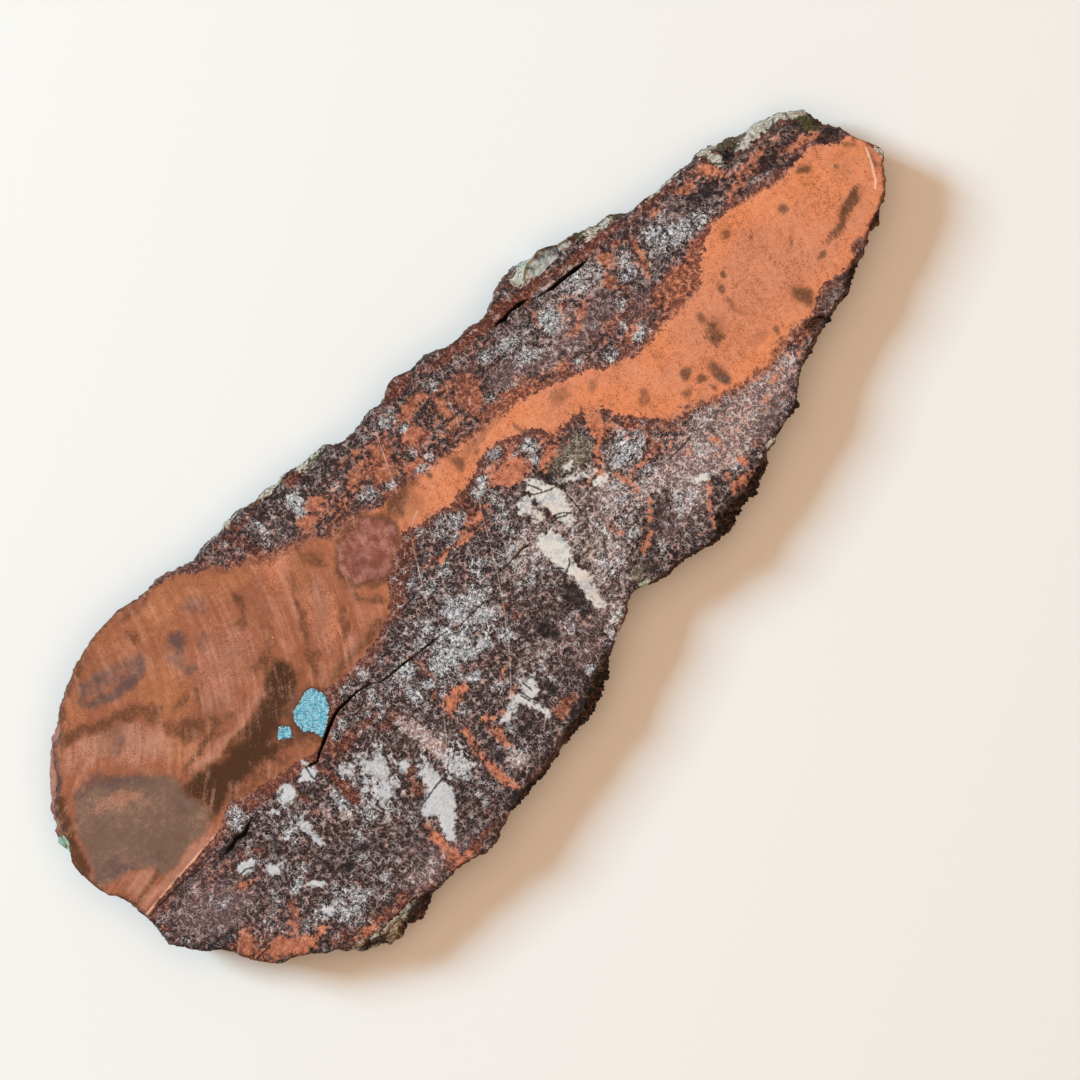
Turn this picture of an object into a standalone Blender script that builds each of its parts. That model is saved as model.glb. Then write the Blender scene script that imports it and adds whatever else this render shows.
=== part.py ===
"""Native copper slab: one sawn slice of copper-bearing rock, polished on its upper face.

Run it with blender --background --python part.py, or from Blender's text editor.
Frame: metres, +Z up out of the polished face, +X along the slab from its broad lobe to its tip.
The origin is the middle of the slab's outline, on the plane that the sawn back rests on.
"""

import math

import bmesh
import bpy
from mathutils import Matrix, Vector, noise

MM = 0.001

# Driving dimensions, in millimetres.
THICKNESS = 12.0
RIM_STEP = 1.9
GRAIN_COARSE = 6.5
GRAIN_FINE = 3.1
ROUGH_COARSE = 1.3
ROUGH_FINE = 0.8
WEATHERED_BACK = 0.75
LEDGE_HEIGHT = 0.58
LEDGE_WANDER = 0.34
LEDGE_GRAIN = 17.0
LEDGE_HALF_HEIGHT = 0.62
BACK_CHIP = 1.1
BACK_CHIP_GRAIN = 9.0
CRACK_DEPTH_SHARE = 0.45
CUTTER_RISE = 1.0
PIT_ROUNDNESS = 3
NORMAL_REACH = 9.0
CENTRING = (-0.495, 0.162)

# The polished face's edge, clockwise as seen from above, in millimetres: x, y, and how far the
# rough natural rind stands out past the edge below it.
LOBE_EDGE = [
    (-115.4, -4.2, 0.8), (-115.8, -1.0, 0.8), (-116.9, 3.2, 0.4), (-118.2, 5.0, 0.4),
    (-119.0, 9.5, 0.4), (-119.2, 12.5, 0.3), (-118.9, 15.0, 0.3), (-118.3, 16.8, 0.6),
    (-117.0, 18.0, 1.8), (-116.1, 19.6, 2.2), (-115.5, 21.6, 2.0), (-114.2, 24.4, 1.3),
    (-113.4, 26.2, 1.8), (-112.2, 27.8, 2.0), (-110.2, 29.2, 2.8), (-108.2, 30.8, 3.0),
    (-107.0, 32.2, 2.8), (-106.0, 34.2, 2.2), (-104.8, 36.0, 1.4), (-103.4, 37.2, 0.8),
    (-101.8, 37.6, 1.2), (-100.1, 37.8, 1.8), (-99.2, 38.9, 1.6), (-97.0, 41.7, 0.4),
    (-94.4, 42.8, 0.3), (-88.6, 45.6, 0.3), (-85.2, 46.6, 0.3), (-82.0, 47.6, 0.3),
    (-78.0, 48.0, 0.2), (-73.6, 48.1, 0.2), (-70.4, 47.7, 0.3), (-67.6, 46.9, 0.5),
    (-64.4, 46.7, 0.5), (-62.6, 46.3, 0.5), (-60.8, 46.8, 0.3), (-56.0, 44.6, 0.7),
]
RIND_EDGE = [
    (-53.6, 44.1, 0.7), (-50.0, 44.1, 0.6), (-48.0, 44.8, 0.4), (-46.4, 44.0, 1.3),
    (-43.4, 43.7, 2.2), (-40.4, 43.9, 2.0), (-37.2, 44.2, 0.9), (-35.0, 44.2, 0.5),
    (-33.4, 42.8, 1.4), (-31.0, 42.0, 2.0), (-28.2, 41.6, 2.2), (-27.0, 42.4, 1.4),
    (-25.6, 43.2, 0.6), (-23.2, 42.9, 0.6), (-21.4, 41.6, 1.4), (-20.0, 40.1, 2.4),
    (-17.8, 39.7, 2.9), (-15.8, 40.4, 2.2), (-13.4, 40.4, 1.8), (-11.4, 39.8, 1.0),
    (-9.0, 39.0, 0.6), (-2.0, 39.3, 0.9), (1.6, 39.3, 0.7), (4.4, 40.1, 0.5),
    (6.2, 41.3, 0.3), (8.0, 41.5, 0.3), (10.8, 40.4, 0.5), (13.0, 39.9, 0.8),
    (15.6, 39.8, 0.6), (18.4, 39.0, 0.5), (21.2, 37.8, 0.5), (24.4, 37.3, 0.5),
    (27.0, 37.5, 0.5), (29.6, 36.8, 0.5), (32.0, 36.8, 0.8), (34.6, 37.4, 0.5),
    (36.8, 38.5, 0.4), (39.2, 39.0, 0.6), (40.2, 37.6, 2.8), (40.8, 35.8, 4.8),
    (42.2, 35.0, 5.8), (43.6, 35.8, 5.0), (44.9, 37.4, 3.4), (46.6, 38.4, 2.0),
    (48.6, 38.3, 1.0), (50.2, 38.9, 0.5), (52.6, 38.0, 0.4), (54.4, 36.8, 0.4),
    (57.0, 35.9, 0.5), (59.0, 35.0, 1.0), (60.6, 33.2, 2.4), (62.4, 32.0, 3.0),
    (64.8, 31.5, 2.6), (67.4, 31.0, 2.2), (69.6, 30.2, 1.2), (71.4, 30.0, 0.5),
    (73.6, 30.4, 0.4), (76.2, 29.8, 0.8), (78.0, 28.9, 1.6), (81.0, 28.7, 1.4),
    (83.4, 28.2, 1.6), (85.6, 28.8, 1.2), (88.0, 27.8, 2.0), (90.2, 26.8, 3.6),
    (92.0, 24.8, 5.2), (94.0, 22.6, 6.2), (96.8, 21.5, 6.0), (100.0, 21.0, 4.8),
    (103.2, 20.2, 4.6), (106.6, 20.0, 4.6), (109.4, 19.4, 4.4), (110.9, 17.6, 4.2),
    (112.0, 15.4, 3.2), (114.0, 13.8, 1.6),
]
TIP_EDGE = [
    (116.0, 12.4, 0.6), (117.1, 10.6, 0.4), (117.8, 8.4, 0.4), (118.5, 6.0, 0.4),
    (119.5, 4.2, 0.4), (120.0, 2.0, 0.3), (119.8, -0.6, 0.5), (118.4, -2.1, 0.6),
    (117.3, -3.6, 0.6), (116.0, -5.2, 0.5), (113.8, -6.8, 0.6), (111.4, -8.0, 1.0),
]
BROKEN_EDGE = [
    (109.2, -9.0, 1.1), (106.6, -10.0, 0.9), (103.8, -11.4, 0.8), (100.6, -12.4, 1.2),
    (98.0, -12.6, 1.6), (96.0, -13.8, 1.9), (93.0, -15.6, 1.2), (89.4, -16.6, 0.9),
    (86.6, -17.0, 1.9), (84.4, -17.4, 1.3), (81.6, -18.4, 1.2), (78.6, -19.2, 1.4),
    (75.4, -20.4, 1.0), (72.0, -22.2, 0.8), (69.0, -24.4, 0.7), (66.4, -26.0, 0.8),
    (60.4, -27.6, 0.8), (57.8, -28.2, 1.6), (54.6, -28.6, 1.2), (52.4, -29.6, 1.6),
    (50.0, -30.4, 1.6), (47.6, -30.8, 2.4), (44.6, -31.4, 2.8), (41.6, -31.0, 4.2),
    (38.6, -31.2, 4.6), (36.0, -32.6, 3.2), (33.6, -34.0, 1.2), (30.4, -34.0, 0.6),
    (27.6, -33.2, 0.6), (24.6, -32.3, 0.5), (21.0, -32.1, 0.5), (17.6, -31.4, 0.5),
    (14.4, -30.5, 0.6), (11.4, -29.9, 0.5), (9.2, -30.8, 0.4), (6.6, -32.6, 0.4),
    (3.6, -33.9, 0.5), (1.0, -35.0, 0.8), (-2.0, -35.6, 2.0), (-5.0, -36.4, 3.0),
    (-8.4, -37.6, 3.6), (-11.8, -38.8, 3.8), (-14.2, -40.4, 2.6), (-17.0, -40.8, 3.0),
    (-20.0, -41.0, 2.8), (-23.0, -41.8, 2.0), (-26.4, -42.4, 1.8), (-29.8, -43.2, 1.9),
    (-33.0, -43.4, 2.0), (-36.0, -43.8, 2.4), (-39.0, -44.2, 2.0), (-42.0, -45.0, 1.0),
    (-48.8, -47.0, 0.6), (-52.0, -47.4, 0.5), (-55.4, -46.4, 0.5), (-58.6, -45.7, 0.6),
    (-61.8, -45.7, 0.8), (-65.2, -45.3, 1.2), (-68.6, -44.7, 2.4), (-71.8, -44.3, 4.0),
    (-75.0, -44.1, 3.6), (-78.4, -44.1, 3.9), (-81.6, -43.6, 3.4), (-84.4, -42.6, 3.2),
    (-86.8, -41.4, 2.9), (-88.8, -40.2, 1.4), (-91.4, -39.3, 0.6), (-93.6, -38.2, 0.6),
    (-94.9, -36.6, 0.6), (-96.8, -35.4, 0.6), (-99.4, -33.7, 0.5), (-102.0, -32.8, 0.6),
    (-103.6, -31.0, 0.5), (-104.8, -29.0, 0.4), (-106.3, -27.2, 0.4), (-106.9, -25.2, 0.4),
    (-108.0, -22.8, 0.5), (-109.8, -20.6, 0.6), (-111.6, -19.2, 0.6), (-113.2, -16.9, 0.5),
    (-114.8, -14.0, 0.8), (-115.7, -11.4, 1.2), (-115.8, -8.6, 1.3),
]
RIM = LOBE_EDGE + RIND_EDGE + TIP_EDGE + BROKEN_EDGE

# The wall's rings, from the polished face down: height as a share of the thickness, and the
# shares of the rind's stand-out and of the rock's roughness that show at that height.
RINGS = [
    (1.00, 0.0, 0.0),
    (0.94, 0.5, 0.3),
    (0.82, 0.9, 0.8),
    (0.67, 1.0, 1.0),
    (0.52, 1.0, 1.0),
    (0.37, 1.0, 1.0),
    (0.21, 1.0, 0.9),
    (0.07, 1.0, 0.6),
    (0.00, 1.0, 0.3),
]

# Open cracks in the polished face: x, y and the gap's width there, in millimetres.
CRACKS = {
    "rind_crack_near": [
        (31.8, 33.6, 0.1), (33.4, 33.5, 0.7), (34.8, 33.2, 0.9), (36.2, 33.6, 0.5),
        (37.6, 33.4, 0.6), (39.2, 33.2, 0.9), (41.4, 32.6, 0.1),
    ],
    "rind_crack_far": [
        (46.6, 30.7, 0.1), (47.6, 30.5, 0.9), (49.8, 30.4, 0.8), (52.2, 30.1, 0.9),
        (54.2, 29.7, 0.8), (56.4, 29.2, 0.1),
    ],
    "metal_crack": [
        (-66.2, -6.5, 0.1), (-64.4, -7.0, 0.6), (-62.4, -6.0, 0.6), (-60.0, -4.8, 0.8),
        (-57.6, -3.6, 1.0), (-55.2, -2.5, 0.9), (-52.4, -1.9, 0.8), (-49.0, -1.9, 0.7),
        (-46.0, -2.4, 0.5), (-43.2, -3.3, 0.4), (-41.0, -4.6, 0.5), (-37.6, -5.1, 0.6),
        (-34.8, -5.3, 0.5), (-31.0, -5.8, 0.1),
    ],
}

# Shallow natural pits where the rock broke away at the metal's edge: centre x and y, half length,
# half width, depth, all in millimetres, and the turn of the long side in degrees.
PITS = {
    "seam_pit": (-88.4, -6.6, 4.6, 1.1, 1.3, 4.0),
    "rind_pit": (83.2, -16.4, 2.3, 1.3, 1.5, -18.0),
}


def in_frame(place):
    """A place in the slab's own millimetres, as metres from the middle of its outline."""
    return (place + Vector((*CENTRING, 0.0))) * MM


def closed_curve(points, step):
    """A smooth closed curve through the points, resampled to even steps."""
    spline = [Vector(p) for p in points]
    count = len(spline)
    parts = 6
    fine = []
    for i in range(count):
        p0, p1, p2, p3 = (spline[(i + k) % count] for k in (-1, 0, 1, 2))
        for k in range(parts):
            t = k / parts
            fine.append(
                0.5 * (2 * p1 + (p2 - p0) * t + (2 * p0 - 5 * p1 + 4 * p2 - p3) * t ** 2
                       + (3 * p1 - p0 - 3 * p2 + p3) * t ** 3)
            )
    lengths = [(fine[i].xy - fine[i - 1].xy).length for i in range(len(fine))]
    total = sum(lengths)
    samples = round(total / step)
    even, i, run = [], 0, 0.0
    for s in range(samples):
        target = s * total / samples
        while run + lengths[(i + 1) % len(fine)] < target:
            run += lengths[(i + 1) % len(fine)]
            i += 1
        ahead = lengths[(i + 1) % len(fine)]
        even.append(fine[i].lerp(fine[(i + 1) % len(fine)], (target - run) / ahead))
    return even


def smooth_normals(loop, reach):
    """Outward directions of a clockwise loop, each taken across a stretch of this reach."""
    count = len(loop)
    span = max(1, round(reach / RIM_STEP))
    normals = []
    for i in range(count):
        along = Vector((0.0, 0.0))
        for k in range(1, span + 1):
            along += (loop[(i + k) % count] - loop[i - k]).xy
        along.normalize()
        normals.append(Vector((-along.y, along.x)))
    return normals


def rock(place):
    """How far the broken rock stands out or in at a place, in millimetres."""
    lumps = noise.noise(place / GRAIN_COARSE, noise_basis="PERLIN_ORIGINAL")
    grains = 0.5 - noise.noise(place / GRAIN_FINE, noise_basis="VORONOI_F1")
    return ROUGH_COARSE * lumps + ROUGH_FINE * grains - WEATHERED_BACK


def ledge(place, height):
    """The share of the rind's stand-out at a height; the ledge wanders up and down the wall."""
    middle = LEDGE_HEIGHT + LEDGE_WANDER * noise.noise(Vector((place.x, place.y, 0.0)) / LEDGE_GRAIN)
    away = (height - middle) / LEDGE_HALF_HEIGHT
    return max(0.0, 1.0 - away * away)


def back_chip(place, height):
    """How far the wall draws in towards the sawn back, where the saw's exit broke it."""
    low = max(0.0, 1.0 - height / LEDGE_HEIGHT)
    flaw = 0.5 + noise.noise(Vector((place.x, place.y, THICKNESS)) / BACK_CHIP_GRAIN)
    return BACK_CHIP * low * max(0.0, flaw)


def add_ring(bm, rim, normals, height, ledge_share, rough_share):
    """One closed loop of the wall; returns its edges."""
    z = height * THICKNESS
    verts = []
    for point, normal in zip(rim, normals):
        base = Vector((point.x, point.y, z))
        out = ledge_share * point.z * ledge(base, height) + rough_share * rock(base)
        out -= back_chip(base, height)
        place = base + Vector((normal.x, normal.y, 0.0)) * out
        verts.append(bm.verts.new(in_frame(place)))
    return [bm.edges.new((verts[i - 1], verts[i])) for i in range(len(verts))]


def material(name, colour, roughness, metallic):
    made = bpy.data.materials.new(name)
    made.use_nodes = True
    shader = made.node_tree.nodes["Principled BSDF"]
    shader.inputs["Base Color"].default_value = (*colour, 1.0)
    shader.inputs["Roughness"].default_value = roughness
    shader.inputs["Metallic"].default_value = metallic
    return made


def new_object(name, bm, collection):
    bmesh.ops.recalc_face_normals(bm, faces=bm.faces)
    mesh = bpy.data.meshes.new(name)
    bm.to_mesh(mesh)
    bm.free()
    made = bpy.data.objects.new(name, mesh)
    collection.objects.link(made)
    return made


def make_slab(collection):
    """The slab itself: rings of wall lofted from the polished face down to the sawn back."""
    rim = closed_curve(RIM, RIM_STEP)
    normals = smooth_normals(rim, NORMAL_REACH)
    bm = bmesh.new()
    rings = [add_ring(bm, rim, normals, *ring) for ring in RINGS]
    for upper, lower in zip(rings, rings[1:]):
        bmesh.ops.bridge_loops(bm, edges=upper + lower)
    for ring in (rings[0], rings[-1]):
        bmesh.ops.contextual_create(bm, geom=ring)
    slab = new_object("copper_slab", bm, collection)
    slab.data.materials.append(material("copper_bearing_rock", (0.36, 0.17, 0.11), 0.4, 0.35))
    return slab


def make_crack_cutter(name, path, collection):
    """A wedge that follows a crack: its gap's width at the face, closing to a line in the rock."""
    bm = bmesh.new()
    depth = CRACK_DEPTH_SHARE * THICKNESS
    top, keel = THICKNESS + CUTTER_RISE, THICKNESS - depth
    widen = (top - keel) / depth
    points = [Vector(p) for p in path]
    sections = []
    for i, point in enumerate(points):
        along = (points[min(i + 1, len(points) - 1)] - points[max(i - 1, 0)]).xy.normalized()
        side = Vector((-along.y, along.x, 0.0)) * (point.z * widen / 2)
        face_level = Vector((point.x, point.y, top))
        corners = (face_level + side, face_level - side, Vector((point.x, point.y, keel)))
        sections.append([bm.verts.new(in_frame(corner)) for corner in corners])
    for near, far in zip(sections, sections[1:]):
        for k in range(3):
            bm.faces.new((near[k - 1], near[k], far[k], far[k - 1]))
    for end in (sections[0], sections[-1]):
        bm.faces.new(end)
    return as_cutter(new_object(name, bm, collection))


def make_pit_cutter(name, x, y, half_length, half_width, depth, turn, collection):
    """A flattened ball, centred on the polished face."""
    bm = bmesh.new()
    bmesh.ops.create_icosphere(bm, subdivisions=PIT_ROUNDNESS, radius=MM)
    bmesh.ops.scale(bm, vec=(half_length, half_width, depth), verts=bm.verts)
    bmesh.ops.rotate(bm, matrix=Matrix.Rotation(math.radians(turn), 3, "Z"), verts=bm.verts)
    bmesh.ops.translate(bm, vec=in_frame(Vector((x, y, THICKNESS))), verts=bm.verts)
    return as_cutter(new_object(name, bm, collection))


def as_cutter(cutter):
    cutter.hide_render = True
    cutter.display_type = "WIRE"
    return cutter


def cut(slab, cutter):
    modifier = slab.modifiers.new(cutter.name, "BOOLEAN")
    modifier.operation = "DIFFERENCE"
    modifier.solver = "EXACT"
    modifier.object = cutter


def main():
    for old in list(bpy.data.objects):
        bpy.data.objects.remove(old, do_unlink=True)
    scene = bpy.context.scene
    parts = bpy.data.collections.new("native_copper_slab")
    cutters = bpy.data.collections.new("cutters")
    scene.collection.children.link(parts)
    scene.collection.children.link(cutters)
    slab = make_slab(parts)
    for name, path in CRACKS.items():
        cut(slab, make_crack_cutter(name, path, cutters))
    for name, pit in PITS.items():
        cut(slab, make_pit_cutter(name, *pit, cutters))


main()
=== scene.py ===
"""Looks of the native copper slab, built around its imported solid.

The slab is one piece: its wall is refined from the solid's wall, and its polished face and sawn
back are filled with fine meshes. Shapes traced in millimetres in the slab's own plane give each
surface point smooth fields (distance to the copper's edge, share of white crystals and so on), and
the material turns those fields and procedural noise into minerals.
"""

import math

import bmesh
import bpy
import numpy as np
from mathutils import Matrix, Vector, kdtree, noise
from mathutils.geometry import delaunay_2d_cdt


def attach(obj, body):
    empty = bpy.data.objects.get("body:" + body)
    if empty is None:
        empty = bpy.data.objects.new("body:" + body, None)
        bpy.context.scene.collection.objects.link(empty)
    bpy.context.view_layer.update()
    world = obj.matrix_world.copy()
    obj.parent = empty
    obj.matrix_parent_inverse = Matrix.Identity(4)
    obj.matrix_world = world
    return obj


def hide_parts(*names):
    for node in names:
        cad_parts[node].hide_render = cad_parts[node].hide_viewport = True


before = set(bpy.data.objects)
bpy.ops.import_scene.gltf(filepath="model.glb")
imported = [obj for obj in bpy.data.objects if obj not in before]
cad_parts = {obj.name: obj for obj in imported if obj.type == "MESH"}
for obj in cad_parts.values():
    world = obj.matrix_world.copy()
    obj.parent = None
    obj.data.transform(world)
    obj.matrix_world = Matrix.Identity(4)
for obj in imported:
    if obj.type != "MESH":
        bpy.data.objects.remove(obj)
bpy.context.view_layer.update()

NODE = "copper_slab"
SLOT = "copper_bearing_rock"
MM = 0.001
THICKNESS = 12.0
CENTRING = np.array((-0.495, 0.162))

# ---------------------------------------------------------------- the traced shapes, in mm

# The copper metal: the broad lobe, the band and the tip, past the slab's edge where it meets it.
METAL = [
    (-124, -4.2), (-124, 52), (-62, 52), (-62, 46), (-58, 44.8), (-55, 42.8), (-52.5, 40.8), (-50, 39.2),
    (-48, 37), (-46, 35.5), (-42, 33.5), (-40, 32), (-37.5, 31), (-34.5, 30), (-31, 29.5), (-29.6, 28),
    (-27, 26), (-22, 25), (-18, 24.4), (-15, 23.5), (-10, 23), (-5, 22.5), (0, 21.5), (8, 19.5), (12, 18.8),
    (18, 18.6), (24, 18), (27, 17.2), (30, 15.8), (33, 15), (35, 14), (37.5, 12.8), (40, 11.8), (42, 10),
    (44, 9), (48, 7.6), (50, 6.8), (60, 6.8), (66, 6.9), (69, 7.4), (71, 8.3), (73, 10.2), (74.5, 12),
    (77, 12.6), (80, 14), (84, 15.2), (88, 15), (91, 13.6), (97, 12.4), (104, 11.4), (106, 12.2), (109, 12.4),
    (111.5, 11.5), (112.5, 9.5), (115.5, 8), (117.5, 7.6), (124, 7), (124, -4), (118, -7), (112, -10.5),
    (108, -12.5), (104.2, -13), (103.4, -10.4), (100.4, -10.2), (99, -12.3), (97, -12.8), (94, -12),
    (91, -11.2), (86.5, -12.8), (82.5, -14), (79, -13.5), (74, -14), (68, -15), (62.5, -14.5), (57.5, -12.5),
    (55, -12), (52.5, -10.2), (50, -9.2), (47, -8.8), (44.5, -8.6), (42.5, -6.2), (41.3, -4), (39, -1.2),
    (37.4, 1), (36.4, 4), (34, 5.2), (32, 6.6), (29.5, 7.2), (26, 7.2), (24.5, 8), (22.4, 10.2), (21, 12.6),
    (18.4, 13), (15, 14.2), (11, 15.4), (8, 14.6), (4, 13.4), (0, 12.6), (-3, 12.4), (-6, 13.4), (-12, 14.8),
    (-15, 16), (-17.5, 14.4), (-21, 12.5), (-25, 10.5), (-26, 8), (-28, 6.5), (-31, 4.5), (-35, 3.2),
    (-39, 2.8), (-43, 2.4), (-48, 2.6), (-52, 3.2), (-53.5, 0), (-57, -3.6), (-60, -5.2), (-63, -5.2),
    (-66, -4.3), (-70, -3), (-74, -2.5), (-79, -1.6), (-84, 0.4), (-87, -1), (-89, -2), (-95, -2.8),
    (-105, -3.4), (-115.5, -4.2),
]

# Smaller patches of copper in the rock: x, y, half length, half width and any turn in degrees.
METAL_PATCHES = [
    (11.4, 8.2, 5, 2.6, -20), (8.4, 11, 2.4, 1.2, 40), (19.4, 4.2, 3, 1.1, 20), (14.6, 11.2, 2, 0.9, 30),
    (32.6, 2.6, 1.9, 3.4, -25), (35, -1, 1.2, 1.6, 20), (30.6, -0.8, 2.2, 0.7, 30),
    (27.6, -3.2, 2.2, 0.8, 55), (25.4, -6, 1.2, 1, 60), (22.6, -5.2, 1.4, 0.5), (-103.4, -24.6, 2, 3.2, -20),
    (-99, -30.6, 4.6, 2.2, -22), (-95.6, -33.4, 2.6, 2.4, -35), (-93.6, -28.6, 1, 2),
    (-89.8, -34, 1.6, 0.9, 10), (-95.8, -14.6, 1.6, 0.7, -30), (-93.6, -15.4, 0.8, 0.9),
    (-28.4, 31.8, 2.4, 2.6, 10), (-24.2, 34, 2.6, 1.6), (-13.4, 32.2, 2.4, 1.4, 20), (-10.2, 35.4, 1.6, 1),
    (-8.6, 27.6, 2, 2, 40), (-6.2, 31.6, 1, 2.4, 10), (4.8, 34.2, 2.2, 1.3, 30), (9, 33.8, 1.4, 1.1),
    (2, 29.4, 2.4, 1.7), (11.4, 28.2, 1, 2.4), (10, 25.2, 1.8, 0.9), (-2.4, 24.4, 3.2, 1),
    (17.6, 24.8, 1.8, 1.2, 45), (45.6, 26, 1.4, 0.8, 40), (48.4, 22.2, 3.4, 0.9, 25), (44, 20.6, 1.8, 0.6),
    (56.6, 22.6, 1.1, 1.8, -10), (59.2, 27, 1.2, 2), (61.2, 25.6, 0.9, 1.8), (36.6, 16.6, 1.8, 0.7, 10),
    (52.6, 11.2, 1.8, 0.8, 10), (65.4, 20.6, 0.9, 3.4, -28), (63.8, 27.2, 1.2, 0.6), (75, 26, 1.6, 0.7),
    (84, 25, 2, 0.9, -20), (90, 25.2, 1.7, 2.2, 20), (91.4, 22.4, 0.8, 1.5), (94.2, 18.6, 2.2, 0.8, 15),
    (99.6, 19.4, 2.6, 1), (108.6, 14.6, 3.2, 0.7, -5), (112, 13.4, 1.4, 0.7, -20), (91, 17, 1.8, 0.7),
    (67.6, -18.6, 1.5, 0.8, -20), (76.6, -19, 1.6, 0.6), (42.8, -16.8, 0.8, 1.2, -20),
    (48.8, -19.2, 0.8, 1.6), (49.6, -26.2, 1.2, 1.6), (46.6, -29.6, 2.4, 1, 10), (63, -20.6, 1.2, 0.7, 30),
    (33.6, -11.6, 3.2, 0.6, 5), (-6.2, 4.8, 3, 0.7, -10), (-0.6, 6, 1.3, 1), (-12.4, 5, 1.6, 0.6, 10),
    (-42.4, -23.4, 0.7, 1.5), (-55.8, -45, 2.4, 0.9), (-82.4, -41.6, 3.4, 1, -8),
]

# Thin veins and wires of copper: points along each, then its half width.
METAL_VEINS = [
    ([(-36.2, -25.6), (-37.2, -29.4)], 0.75), ([(-37.2, -29.4), (-38.1, -34.4)], 0.45),
    ([(-38.1, -34.4), (-37.9, -37.1), (-36.9, -40.8)], 0.95), ([(-37.6, -38.6), (-36.9, -41.6)], 0.9),
    ([(-31.2, -26), (-30.6, -27.5), (-29.2, -27.6), (-27, -28.6)], 0.5),
    ([(-30.7, -26.4), (-30.9, -27)], 0.9), ([(-30.6, -30.6), (-31.8, -32.4), (-31.7, -34.4)], 0.75),
    ([(-35.9, -20), (-33.8, -18.6), (-31.5, -17.7), (-29.4, -18.8)], 0.8),
    ([(-57.4, -37.5), (-58, -41.6), (-56.2, -45.4)], 0.8), ([(-23.8, -27.5), (-21.4, -26.1)], 0.32),
    ([(-22.5, -22.9), (-20.6, -21.9)], 0.3), ([(29.4, -17.8), (27.4, -19.6), (25.4, -21.6)], 0.5),
    ([(24, -23.4), (22, -24.2), (20, -25)], 0.55), ([(41.2, -24.6), (39.2, -27), (37, -29.4)], 0.42),
    ([(44.6, -26.8), (44.2, -29.2), (43.9, -31)], 0.45), ([(36, -30.4), (34.4, -32.2)], 0.4),
    ([(28.2, -9), (28.5, -12), (28.2, -14.4)], 0.7), ([(40.4, 29.6), (42.6, 28.8)], 0.4),
    ([(18.8, -15.6), (19.2, -18.4)], 0.35), ([(47.8, 27.4), (50.2, 25)], 0.35),
    ([(-46.4, -24.4), (-44.2, -20.8)], 0.2), ([(100.6, 22.2), (107.2, 18.8)], 0.4),
]

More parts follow.
